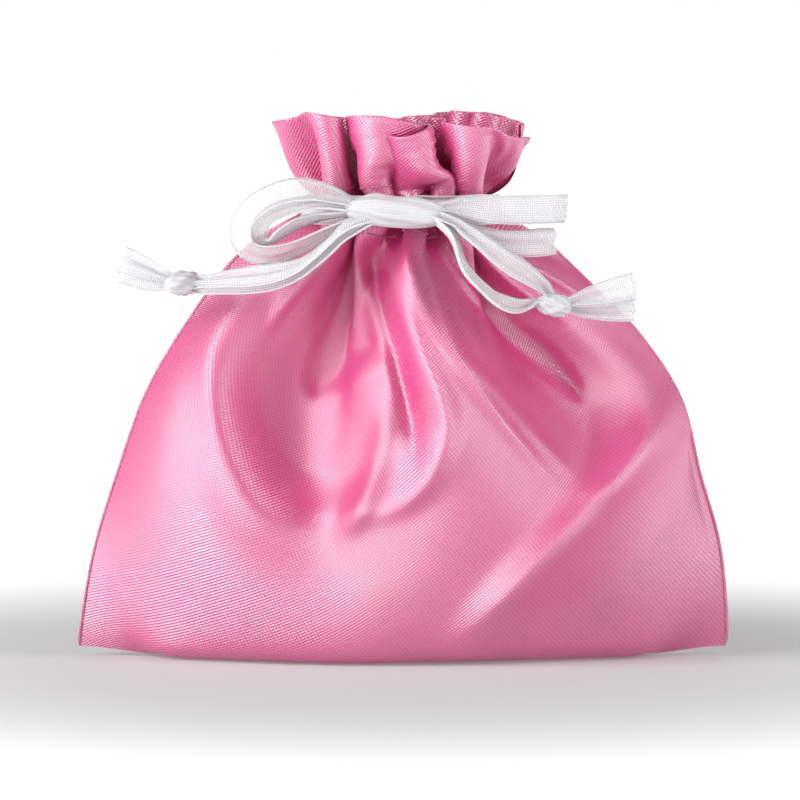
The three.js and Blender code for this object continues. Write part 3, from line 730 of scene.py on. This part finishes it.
PRESSURE = 0.0012          # the filling's push on the cloth, per step and millimetre of grid
GRAVITY = 0.0001
FILL_WEIGHT = 0.004        # the filling's weight on the base
DAMPING = 0.985
SQUEEZE = 0.6              # how far cloth resists being shortened
SHEAR = 0.25
BENDING = ((2.0, 0.12), (4.0, 0.05))
HEADER_HOLD = 0.02
LEVELS = ((30, 500), (60, 500), (120, 500))
# Strokes that push on the front while the cloth settles: a line of (x, z), half-width, push back toward the
# middle where it is negative, and outward where it is positive
FRONT_STROKES = [
    ([(-6.5, 45), (-9, 38), (-9, 30), (-8, 24)], 7.0, -0.0022),
    ([(7, 44), (13, 39.5), (18, 33), (20.5, 28)], 5.0, -0.0022),
    ([(-1.5, 47), (1.5, 40), (3.2, 33), (4, 27)], 2.5, 0.003),
    ([(30.4, 26.2), (22, 17), (14, 8), (9, 3)], 3.5, 0.002),
]
FOLD_FADE = 0.3            # share of a fold over which each of its ends dies away
EVENING_STEPS = 260        # each one evens the front out a little further
EVEN_BELOW = (40, 50)      # heights between which the evening dies away under the neck
EVEN_ABOVE = (1, 7)        # and over the table
PRESS_BELOW = (45, 50.5)   # heights between which the pressing dies away
FRONT_ROOM = 0.8           # that pressed cloth keeps clear of the pouch's middle plane
# Hollows pressed into the settled front: an outline of (x, z), the width of its sloping edge, and its depth
FRONT_HOLLOWS = [
    ([(-5, 54), (-12.5, 46), (-17, 42.5), (-20.3, 37), (-20.8, 31), (-19, 24.5), (-15, 18.6), (-8.2, 17),
      (-3, 18.6), (1.3, 22), (3.7, 27), (3.3, 31), (1.5, 36), (0, 41), (-0.8, 45), (-2.2, 54)], 5.0, 2.1),
    ([(3, 54), (2.4, 48), (5.6, 38.7), (11.1, 31.4), (19.4, 22.4), (23.5, 22.6), (25.9, 25.7), (26.8, 29.4),
      (25.7, 32.2), (22.3, 35.3), (17.8, 38.8), (13, 43), (8, 54)], 5.5, 1.5),
    ([(-3, 56), (-6.5, 46), (-9.4, 40.4), (-11.8, 35), (-12.2, 31.4), (-10, 29.6), (-5.5, 31.6), (-1, 35.5),
      (-1.2, 42)], 4.2, 3.0),
    ([(2.5, 54), (4.6, 44), (8, 38.5), (14, 34), (20, 29.5), (21.5, 32), (18, 36.5), (12, 41), (7, 48)],
     2.8, 2.4),
]
# Folds raised on it or, where the height is negative, sunk into it: a line of (x, z), half-width, height
FRONT_FOLDS = [
    # the rim round the left hollow, strongest up its right side, and the deep fold beside it
    ([(-9, 52), (-12.5, 47), (-17.5, 43.5), (-21.6, 37.5), (-22, 31), (-20.2, 24), (-15.8, 17.4),
      (-8.2, 15.6), (-2, 17)], 2.0, 1.0),
    ([(-9, 17), (-2.5, 18), (2.4, 21.4), (5, 27), (4.4, 31.5), (2.2, 37), (0.6, 42), (-1, 52), (-2, 58)],
     1.5, 1.5),
    ([(-4.8, 57), (-3.9, 50.6), (-3.2, 44.8), (-1.6, 38.8), (-0.1, 33), (1.2, 27), (1, 22)], 1.1, -2.6),
    ([(-4, 10), (-6, 20), (-8, 30), (-10, 40), (-10, 48)], 4.2, 1.7),
    ([(-8.5, 14), (-5.6, 17.5), (-3.6, 21.5), (-2.2, 26.5), (-1.6, 32)], 1.5, 1.5),
    # the two ridges down the left side of the right hollow, with a crease between them, and its rim
    ([(-4, 60), (-0.2, 49.4), (3.7, 38.8), (9.9, 30.5), (16.4, 22.4), (20, 18)], 1.0, 1.3),
    ([(-1, 60), (1.9, 49.4), (5.7, 37.9), (11.4, 31.2), (19, 22.2), (22, 19)], 0.9, 1.1),
    ([(14, 18.5), (19.8, 20.4), (24.2, 21.2), (27.2, 25.3), (28.2, 29.4), (26.8, 33), (22.8, 36.6),
      (18, 40.4), (13, 45)], 1.8, 0.9),
    # the slanting ridge over the filling low on the right, and the hollow beside it
    ([(34, 37), (31, 28.5), (25, 21.5), (17, 13.5), (10, 6), (4, -1)], 2.3, 2.4),
    ([(35, 27), (32, 19), (26, 12), (19, 5), (14, 0)], 3.6, -1.6),
    # the small pleats that fan out under the knot
    ([(-4, 56), (-6.5, 51), (-9.5, 46.5), (-14, 41), (-17, 36)], 0.8, 1.0),
    ([(-6, 53), (-9.4, 50.5), (-13, 47.5), (-18, 44)], 0.8, 0.9),
    ([(-4, 55), (-5.2, 50.5), (-6.2, 46), (-8, 41), (-10, 36)], 0.6, 0.7),
    ([(2, 56), (3.8, 50.5), (7, 44.5), (10.5, 40), (14, 36)], 0.7, 1.5),
    ([(1.5, 56), (4.4, 49), (8.6, 43), (12, 39)], 0.5, -1.0),
    ([(3, 54), (6, 50.5), (10.5, 45.5), (15, 42), (20, 39)], 0.7, 1.2),
    ([(5, 53), (8.6, 50.5), (13.6, 46.8), (19, 43.5), (24, 40)], 0.8, 1.2),
]


def neck_curve(side, pleats, columns, half_axes):
    """A cloth's line round half of the neck, pleated so that its length is the cloth's width."""
    half_width, half_depth = half_axes
    edges = np.r_[0, np.cumsum(pleats)] / np.sum(pleats)
    share = np.linspace(0, 1, 1600)
    phase = np.interp(share, edges, np.arange(len(edges))) * 2 * np.pi
    size = np.interp(share, (edges[1:] + edges[:-1]) / 2, np.array(pleats) / np.mean(pleats))
    turn = (share - 0.5) * np.pi
    ends = smooth_step(0, 0.04, share) * smooth_step(0, 0.04, 1 - share)
    out = unit(np.stack([half_depth * np.sin(turn), half_width * np.cos(turn)], 1))

    def curve(depth):
        pleat = (depth * size * np.cos(phase) * ends)[:, None] * out
        x = half_width * np.sin(turn) + pleat[:, 0]
        y = 0.6 + (half_depth - 0.6) * np.cos(turn) + pleat[:, 1]
        return np.stack([x, side * y], 1)

    low, high = 0.0, 6.0
    for _ in range(40):
        middle = (low + high) / 2
        length = np.linalg.norm(np.diff(curve(middle), axis=0), axis=1).sum()
        low, high = (middle, high) if length < FLAT_WIDTH else (low, middle)
    line = curve(low)
    distance = np.r_[0, np.cumsum(np.linalg.norm(np.diff(line, axis=0), axis=1))]
    places = np.linspace(0, distance[-1], columns)
    return np.stack([np.interp(places, distance, line[:, k]) for k in (0, 1)], 1)


def pleats_of(side):
    return FRONT_PLEATS if side < 0 else BACK_PLEATS


def header_fold(side, columns):
    """The line of the header's top fold that the cloth is drawn to."""
    if side < 0:
        return smooth_curve(HEADER_LINE, columns)
    line = neck_curve(side, BACK_PLEATS, columns, HEADER_MIDDLE)
    middle, half, rise = BACK_RISE
    height = RIBBON_LINE + HEADER_REACH + rise * np.exp(-((line[:, 0] - middle) / half) ** 2)
    return np.column_stack([line, height])


def first_shape(cells):
    """A rough bag: flat under the base, a lens higher up, closing into the pleated neck and the header."""
    points = np.zeros((2, cells + 1, cells + 1, 3))
    share = np.linspace(0, 1, cells + 1)
    turn = (share - 0.5) * np.pi
    spread = 2 * share - 1
    heights = [0, 4, 12, 21, 30, 39, 46, RIBBON_LINE]
    widths = [38, 38, 36.6, 34, 30.7, 25, 18.5, 9]
    depths = [10, 12, 15, 16.3, 15.5, 12, 9, 6]
    for s, side in enumerate(SIDES):
        neck = neck_curve(side, pleats_of(side), cells + 1, NECK_MIDDLE)
        for row, cloth in enumerate(np.linspace(0, FLAT_HEIGHT, cells + 1)):
            if cloth <= BASE_DEPTH:
                x = 38 * spread
                y = side * cloth / BASE_DEPTH * depths[0] * np.cos(turn)
                z = 0.05
            elif cloth <= TO_RIBBON:
                z = (cloth - BASE_DEPTH) / (TO_RIBBON - BASE_DEPTH) * RIBBON_LINE
                width = np.interp(z, heights, widths)
                depth = np.interp(z, heights, depths)
                closed = smooth_step(18, RIBBON_LINE, z) ** 1.5
                x = (1 - closed) * width * (0.55 * np.sin(turn) + 0.45 * spread) + closed * neck[:, 0]
                y = (1 - closed) * side * depth * np.cos(turn) + closed * neck[:, 1]
            else:
                up = (cloth - TO_RIBBON) / HEADER
                x, y, z = header_fold(side, cells + 1).T
                x = neck[:, 0] * (1 - up) + x * up
                y = neck[:, 1] * (1 - up) + y * up
                z = RIBBON_LINE * (1 - up) + z * up
            points[s, row] = np.stack(np.broadcast_arrays(x, y, z), -1)
    return points


def doubled(points, axes=(1, 2)):
    """The same surface on a grid twice as fine, with cubic midpoints."""
    for axis in axes:
        lines = np.moveaxis(points, axis, 0)
        ends = np.concatenate([2 * lines[:1] - lines[1:2], lines, 2 * lines[-1:] - lines[-2:-1]])
        middles = (-ends[:-3] + 9 * ends[1:-2] + 9 * ends[2:-1] - ends[3:]) / 16
        finer = np.empty((2 * len(lines) - 1,) + lines.shape[1:])
        finer[::2] = lines
        finer[1::2] = middles
        points = np.moveaxis(finer, 0, axis)
    return np.ascontiguousarray(points)


def cloth_normals(points):
    across = np.gradient(points, axis=2)
    up = np.gradient(points, axis=1)
    normals = unit(np.cross(across, up))
    normals[1] *= -1
    return normals


def pull_pairs(first, second, first_free, second_free, rest, stretch, squeeze):
    """Moves pairs of points toward their rest distance."""
    apart = second - first
    length = np.sqrt((apart * apart).sum(-1, keepdims=True)) + 1e-9
    stiffness = np.where(length > rest, stretch, squeeze)
    move = apart * (stiffness * (length - rest) / length / (first_free + second_free + 1e-9))
    first += move * first_free
    second -= move * second_free


def pull_lines(points, free, axis, step, rest, stretch, squeeze):
    """Every pair step cells apart along an axis, in groups that share no point."""
    size = points.shape[axis]
    for start in range(2 * step):
        near = [slice(None)] * 3
        far = [slice(None)] * 3
        near[axis] = slice(start, size - step, 2 * step)
        far[axis] = slice(start + step, size, 2 * step)
        near, far = tuple(near), tuple(far)
        if points[near].shape[axis]:
            pull_pairs(points[near], points[far], free[near], free[far], rest, stretch, squeeze)


def pull_diagonals(points, free, rest, stretch, squeeze):
    for start in (0, 1):
        low, high = points[:, start:-1:2], points[:, start + 1::2]
        low_free, high_free = free[:, start:-1:2], free[:, start + 1::2]
        rising = (slice(None), slice(None), slice(None, -1))
        falling = (slice(None), slice(None), slice(1, None))
        for a, b in ((rising, falling), (falling, rising)):
            pull_pairs(low[a], high[b], low_free[a], high_free[b], rest, stretch, squeeze)


def stroke_push(points):
    """The push of the strokes on the front, outward, at each point."""
    x, z = points[0, ..., 0], points[0, ..., 2]
    push = np.zeros_like(x)
    for line, reach, strength in FRONT_STROKES:
        away, _ = nearest_on(smooth_curve(line, 24), x, z)
        push += strength * np.exp(-(away / reach) ** 2)
    return push


def seam_targets(points, cloth):
    """Where the sewn edges are held: the side seams' outlines, and the bottom seam on the table."""
    rows = np.where(cloth < TO_RIBBON - 1.1)[0]
    for outline, column, sign in ((LEFT_SEAM, 0, -1), (RIGHT_SEAM, -1, 1)):
        seam = smooth_curve(np.array(outline)[:, [0, 1, 1]] * [1, 1, 0], 400)
        place = cloth[rows] / TO_RIBBON * 399
        points[:, rows, column, 0] = sign * np.interp(place, np.arange(400), seam[:, 0])
        points[:, rows, column, 1] = 0
        points[:, rows, column, 2] = np.interp(place, np.arange(400), seam[:, 1])
    points[:, 0, :, 0] = np.linspace(-LEFT_SEAM[0][0], RIGHT_SEAM[0][0], points.shape[2])
    from_corner = FLAT_WIDTH / 2 - np.abs(np.linspace(-0.5, 0.5, points.shape[2])) * FLAT_WIDTH
    points[:, 0, :, 1] = 0
    points[:, 0, :, 2] = 0.1 + CORNER_LIFT * (1 - smooth_step(0, LIFT_REACH, from_corner))
    return rows


def settle(points, steps):
    """Runs the cloth: pressure and weight push it, then its threads pull it toward its true size."""
    rows, columns = points.shape[1] - 1, points.shape[2] - 1
    height, width = FLAT_HEIGHT / rows, FLAT_WIDTH / columns
    diagonal = math.hypot(height, width)
    cloth = np.arange(rows + 1) * height
    free = np.ones((2, rows + 1, columns + 1, 1))
    tied = np.abs(cloth - TO_RIBBON) <= max(1.0, height * 0.51)
    up = np.clip((cloth - TO_RIBBON) / HEADER, 0, 1)
    header = np.zeros_like(points)
    for s, side in enumerate(SIDES):
        neck = neck_curve(side, pleats_of(side), columns + 1, NECK_MIDDLE)
        top = header_fold(side, columns + 1)
        points[s, tied, :, :2] = neck
        points[s, tied, :, 2] = (RIBBON_LINE + cloth[tied] - TO_RIBBON)[:, None]
        flare = (up ** 0.8)[:, None, None]
        header[s, :, :, :2] = neck * (1 - flare) + top[:, :2] * flare
        header[s, :, :, 2] = RIBBON_LINE + up[:, None] * (top[:, 2] - RIBBON_LINE)
    header_pull = (HEADER_HOLD * up ** 2)[None, :, None, None]
    seam_rows = seam_targets(points, cloth)
    free[:, tied] = 0
    free[:, seam_rows, 0] = 0
    free[:, seam_rows, -1] = 0
    free[:, 0] = 0
    filled = (cloth <= TO_RIBBON - 1)[None, :, None, None]
    low_rows = (cloth < 25)[None, :, None]
    speed = np.zeros_like(points)
    for step in range(steps):
        push = PRESSURE * width * cloth_normals(points) * filled
        push[..., 2] -= GRAVITY * width
        push[..., 2] -= FILL_WEIGHT * width * (1 - smooth_step(2, 9, points[..., 2])) * low_rows
        if step % 10 == 0:
            strokes = stroke_push(points)
        push[0, ..., 1] -= strokes * width
        speed = speed * DAMPING + push
        before = points.copy()
        points = points + speed * free
        points = points + (header - points) * header_pull * free
        pull_lines(points, free, 2, 1, width, 1.0, SQUEEZE)
        pull_lines(points, free, 1, 1, height, 1.0, SQUEEZE)
        pull_diagonals(points, free, diagonal, SHEAR, SHEAR / 2)
        for reach, stiffness in BENDING:
            cells = round(reach / width)
            if cells >= 2:
                pull_lines(points, free, 2, cells, cells * width, 0, stiffness)
                pull_lines(points, free, 1, cells, cells * height, 0, stiffness)
        loose = free[..., 0] > 0
        points[0, ..., 1] = np.where(loose[0], np.minimum(points[0, ..., 1], -SIDES_APART), points[0, ..., 1])
        points[1, ..., 1] = np.where(loose[1], np.maximum(points[1, ..., 1], SIDES_APART), points[1, ..., 1])
        under = points[..., 2] < 0
        points[under, 2] = 0
        speed = points - before
        speed[under] *= 0.3
        speed = np.clip(speed, -width / 2, width / 2)
    return points


def inside_outline(x, z, outline):
    """Which places lie inside a closed outline: a level line from them crosses it an odd number of times."""
    inside = np.zeros(x.shape, bool)
    for (x0, z0), (x1, z1) in zip(outline, np.roll(outline, -1, axis=0)):
        if z0 == z1:
            continue
        crosses = (z0 > z) != (z1 > z)
        inside ^= crosses & (x < x0 + (z - z0) * (x1 - x0) / (z1 - z0))
    return inside


def nearest_on(line, x, z):
    """How far each place is from a line of points, and how far along it, 0 to 1, the nearest point is."""
    away = np.full(x.shape, 1e9)
    along = np.zeros(x.shape)
    for share, (px, pz) in zip(np.linspace(0, 1, len(line)), line):
        distance = (x - px) ** 2 + (z - pz) ** 2
        closer = distance < away
        away[closer] = distance[closer]
        along[closer] = share
    return np.sqrt(away), along


def even_out(points):
    """Takes the waves out of the settled front below the neck, so that only the folds pressed later show."""
    front = points[0]
    height = front[1:-1, 1:-1, 2:3]
    share = (1 - smooth_step(*EVEN_BELOW, height)) * smooth_step(*EVEN_ABOVE, height)
    for _ in range(EVENING_STEPS):
        near = (front[:-2, 1:-1] + front[2:, 1:-1] + front[1:-1, :-2] + front[1:-1, 2:]) / 4
        front[1:-1, 1:-1] += (near - front[1:-1, 1:-1]) * share


def press_front(points):
    """Presses the front's hollows and folds into it under the neck, and keeps it in front of the back.

    The sewn edges aren't held, so the ridge that runs up to the right seam lifts the front's edge off it.
    """
    x, z = points[0, ..., 0], points[0, ..., 2]
    inward = np.zeros_like(x)
    for outline, edge, depth in FRONT_HOLLOWS:
        closed = smooth_curve(outline, 160)
        away, _ = nearest_on(closed, x, z)
        inward += depth * smooth_step(0, edge, away) * inside_outline(x, z, closed)
    for line, reach, height in FRONT_FOLDS:
        away, along = nearest_on(smooth_curve(line, 120), x, z)
        fade = smooth_step(0, FOLD_FADE, along) * smooth_step(0, FOLD_FADE, 1 - along)
        inward -= height * fade * np.exp(-(away / reach) ** 2)
    inward *= 1 - smooth_step(*PRESS_BELOW, z)
    room = np.maximum(-points[0, ..., 1] - FRONT_ROOM, 0.05)
    points[0, ..., 1] += np.where(inward > 0, room * np.tanh(inward / room), inward)


def soften_corners(points):
    """Fills the flat ears of cloth at the base's corners with an even patch."""
    height = FLAT_HEIGHT / (points.shape[1] - 1)
    width = FLAT_WIDTH / (points.shape[2] - 1)
    rows = round(CORNER_REACH / height)
    columns = round(CORNER_REACH / width)
    v = np.linspace(0, 1, rows + 1)[:, None, None]
    u = np.linspace(0, 1, columns + 1)[None, :, None]
    for corner in (points[:, :rows + 1, :columns + 1], points[:, :rows + 1, ::-1][:, :, :columns + 1]):
        for patch in corner:
            near, far = patch[:, :1], patch[:, -1:]
            low, high = patch[:1], patch[-1:]
            even = (1 - u) * near + u * far + (1 - v) * low + v * high
            even -= (1 - u) * (1 - v) * patch[0, 0] + u * (1 - v) * patch[0, -1]
            even -= (1 - u) * v * patch[-1, 0] + u * v * patch[-1, -1]
            share = (1 - smooth_step(0.4, 1, u)) * (1 - smooth_step(0.4, 1, v))
            patch += share * (even - patch)


def simulate_cloth():
    levels = LEVELS
    points = first_shape(levels[0][0])
    for number, (_, steps) in enumerate(levels):
        if number:
            points = doubled(points)
        points = settle(points, steps)
    soften_corners(points)
    while points.shape[1] < 200:
        points = doubled(points)
    return points


def make_cloth():
    points = simulate_cloth()
    even_out(points)
    press_front(points)
    return points


# ----------------------------------------
# Satin, seams and stitching

FACING = 16.0              # cloth turned in from the header's fold, down past the casing
FOLD_GAP = 0.32            # between the cloth and its facing
FOLD_ROWS = 5


def with_facing(points, normals):
    """A cloth's points with its top edge turned in, and how far up the flat cloth each row lies."""
    rows = points.shape[0]
    cell = FLAT_HEIGHT / (rows - 1)
    top, top_normal = points[-1], normals[-1]
    up = unit(points[-1] - points[-2])
    radius = FOLD_GAP / 2
    fold = []
    for turn in np.linspace(0, math.pi, FOLD_ROWS + 2)[1:-1]:
        fold.append(top - top_normal * radius * (1 - math.cos(turn)) + up * radius * math.sin(turn))
    count = int(FACING / cell)
    inside = (points - normals * FOLD_GAP)[::-1][:count]
    cloth = np.r_[np.arange(rows) * cell, FLAT_HEIGHT + np.linspace(0.1, 0.5, FOLD_ROWS),
                  FLAT_HEIGHT + 0.6 + np.arange(count) * cell]
    return np.concatenate([points, np.array(fold), inside]), cloth


def add_satin(name, points, normals, side, nodes, material):
    whole, cloth = with_facing(points, normals)
    rows, columns = whole.shape[:2]
    across = np.linspace(0, FLAT_WIDTH, columns)
    if side > 0:
        across = FLAT_WIDTH - across
    uvs = np.stack(np.broadcast_arrays(across[None, :], cloth[:, None]), -1).reshape(-1, 2)
    piece = make_piece(name, whole.reshape(-1, 3), grid_faces(rows, columns, flip=side > 0), material, uvs)
    stand_for(piece, "satin", "pouch", *nodes)
    return piece


def row_line(points, normals, height, lift):
    """The line across a cloth at a height of cloth above the bottom seam, lifted off its face."""
    rows = points.shape[0] - 1
    place = height / FLAT_HEIGHT * rows
    low = int(place)
    share = place - low
    line = points[low] * (1 - share) + points[low + 1] * share
    return line + unit(normals[low] * (1 - share) + normals[low + 1] * share) * lift


STITCH = 1.5               # millimetres of thread showing in one stitch
STITCH_GAP = 0.5
THREAD_RADIUS = 0.11
THREAD_LIFT = 0.08         # of the thread's middle off the cloth
CASING_HALF = 3.2          # of cloth from the ribbons' line to each row of stitches
RIBBON_SHIFT = 1.5         # of each ribbon in the casing from that line, one down and one up


def tube_rings(centre, radius, around):
    """Rings of points round a line; radius is one number for each ring."""
    tangent = unit(np.gradient(centre, axis=0))
    side = unit(np.cross(tangent, [0.03, 0.02, 1.0]))
    up = np.cross(side, tangent)
    angle = np.linspace(0, 2 * np.pi, around, endpoint=False)
    circle = np.cos(angle)[None, :, None] * side[:, None] + np.sin(angle)[None, :, None] * up[:, None]
    return centre[:, None] + circle * np.asarray(radius)[:, None, None]


def add_stitches(name, line, node, material):
    """A row of stitches along a line over the cloth, each one sinking at its ends."""
    distance = np.r_[0, np.cumsum(np.linalg.norm(np.diff(line, axis=0), axis=1))]
    points, faces, uvs = [], [], []
    start = 0.4
    while start + STITCH < distance[-1] - 0.4:
        places = np.linspace(start, start + STITCH, 9)
        centre = np.stack([np.interp(places, distance, line[:, k]) for k in range(3)], 1)
        swell = np.sin(np.linspace(0.12, math.pi - 0.12, 9)) ** 0.5
        rings = tube_rings(centre, THREAD_RADIUS * swell, 8)
        base = len(points)
        points.extend(rings.reshape(-1, 3))
        faces.extend([[base + corner for corner in face] for face in ring_faces(9, 8)])
        angle = np.linspace(0, 0.7, 8, endpoint=False)
        uvs.extend(np.stack(np.broadcast_arrays(places[:, None], angle[None, :]), -1).reshape(-1, 2))
        start += STITCH + STITCH_GAP
    piece = make_piece(name, points, faces, material, uvs)
    stand_for(piece, "thread", "pouch", node)


def add_side_seam(label, outline, sign, material):
    """The rolled edge where the two cloths are sewn, with the puckers that the stitches draw in."""
    seam = smooth_curve([(sign * x, 0, z) for x, z in outline[:-2]], 260)
    seam[:, 2] = np.maximum(seam[:, 2], 0.4)
    travel = np.linspace(0, 1, len(seam))
    pucker = 1 + 0.05 * np.sin(travel * 190) + 0.06 * np.sin(travel * 71 + 1)
    ends = np.minimum(smooth_step(-0.01, 0.02, travel), smooth_step(-0.01, 0.02, 1 - travel))
    rings = tube_rings(seam, 0.2 * pucker * ends, 12)
    length = np.linspace(0, 60, len(seam))
    angle = np.linspace(0, 2.6, 12, endpoint=False)
    uvs = np.stack(np.broadcast_arrays(angle[None, :], length[:, None]), -1).reshape(-1, 2)
    piece = make_piece(f"{label}_side_seam_edge", rings.reshape(-1, 3), ring_faces(len(seam), 12), material,
                       uvs)
    stand_for(piece, "satin", "pouch", f"{label}_side_seam")


ALLOWANCE_LIFT = 0.5       # of the turned-in raw edges over the bottom of the base


def add_bottom_seam(material):
    """The seam allowance that lies inside along the base, with its raw edges a little wavy."""
    low, high = (np.array(corner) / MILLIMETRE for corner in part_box("bottom_seam"))
    low[2] += ALLOWANCE_LIFT
    x = np.linspace(low[0], high[0], 160)
    points, uvs = [], []
    for height in np.linspace(0, 1, 8):
        wave = 0.12 * np.sin(x * 1.3) * height
        points.append(np.stack([x, wave, low[2] + height * (high[2] - low[2]) + 0.05 * np.sin(x * 3.1)], 1))
        uvs.append(np.stack([x, np.full_like(x, height * 3)], 1))
    seam = make_piece("bottom_seam_allowance", np.concatenate(points), grid_faces(8, 160), material,
                      np.concatenate(uvs))
    thickness = seam.modifiers.new("thickness", "SOLIDIFY")
    thickness.thickness = 0.4 * MILLIMETRE
    thickness.offset = 0
    stand_for(seam, "satin_reverse", "pouch", "bottom_seam")


def add_ribbon_in_casing(name, open_side, rise, points, normals, material):
    """The stretch of a drawstring between a cloth and its facing, once round the neck from its slit."""
    rows = []
    for across in np.linspace(-RIBBON_WIDTH / 2, RIBBON_WIDTH / 2, 10):
        height = TO_RIBBON + rise + across
        front, back = (row_line(points[s], normals[s], height, -FOLD_GAP / 2)[2:-2] for s in (0, 1))
        halves = [front, back[::-1]] if open_side < 0 else [back[::-1], front]
        rows.append(np.concatenate(halves))
    rows = np.array(rows)
    travel = np.linalg.norm(np.diff(rows[4], axis=0), axis=1)
    along = np.r_[0, np.cumsum(travel)]
    place = np.linspace(-RIBBON_WIDTH / 2, RIBBON_WIDTH / 2, 10)
    uvs = np.stack(np.broadcast_arrays(along[None, :], place[:, None]), -1).reshape(-1, 2)
    piece = make_piece(name + "_run", rows.reshape(-1, 3), grid_faces(*rows.shape[:2]), material, uvs)
    thickness = piece.modifiers.new("thickness", "SOLIDIFY")
    thickness.thickness = FILM * MILLIMETRE
    thickness.offset = 0
    stand_for(piece, "organza", "pouch", name)


def add_pouch():
    satin = satin_material("satin", (0.84, 0.032, 0.32), (0.57, 0.0, 0.12), 0.27, 0.4, 0.055)
    reverse = satin_material("satin_reverse", (0.6, 0.08, 0.22), (0.5, 0.045, 0.16), 0.6, 0.0, 0.02)
    thread = thread_material("thread", (0.86, 0.25, 0.45), (0.6, 0.1, 0.25))
    organza = organza_material("organza_in_casing", *CASING_COVER)
    points = make_cloth()
    normals = cloth_normals(points)
    for s, label in enumerate(("front", "back")):
        nodes = [f"{label}_{part}" for part in ("panel", "casing", "casing_facing", "header")]
        piece = add_satin(f"{label}_satin", points[s], normals[s], SIDES[s], nodes, satin)
        for row, height in (("lower", TO_RIBBON - CASING_HALF), ("upper", TO_RIBBON + CASING_HALF)):
            line = row_line(points[s], normals[s], height, THREAD_LIFT)
            add_stitches(f"{label}_{row}_stitches", line, f"{label}_{row}_stitching", thread)
    add_side_seam("left", LEFT_SEAM, -1, satin)
    add_side_seam("right", RIGHT_SEAM, 1, satin)
    add_bottom_seam(reverse)
    add_ribbon_in_casing("left_ribbon_in_casing", -1, -RIBBON_SHIFT, points, normals, organza)
    add_ribbon_in_casing("right_ribbon_in_casing", 1, RIBBON_SHIFT, points, normals, organza)


FLOOR_RADIUS = 3           # metres
FLOOR_DROP = 0.0002        # under the pouch


def add_floor():
    bpy.ops.mesh.primitive_circle_add(vertices=96, radius=FLOOR_RADIUS, fill_type="NGON",
                                      location=(0, 0, -FLOOR_DROP))
    floor = bpy.context.object
    floor.name = "floor"
    floor.data.materials.append(floor_material())


add_camera()
add_ribbons()
add_pouch()
add_floor()
add_lights()
add_world()
bpy.context.scene.view_settings.view_transform = "Standard"
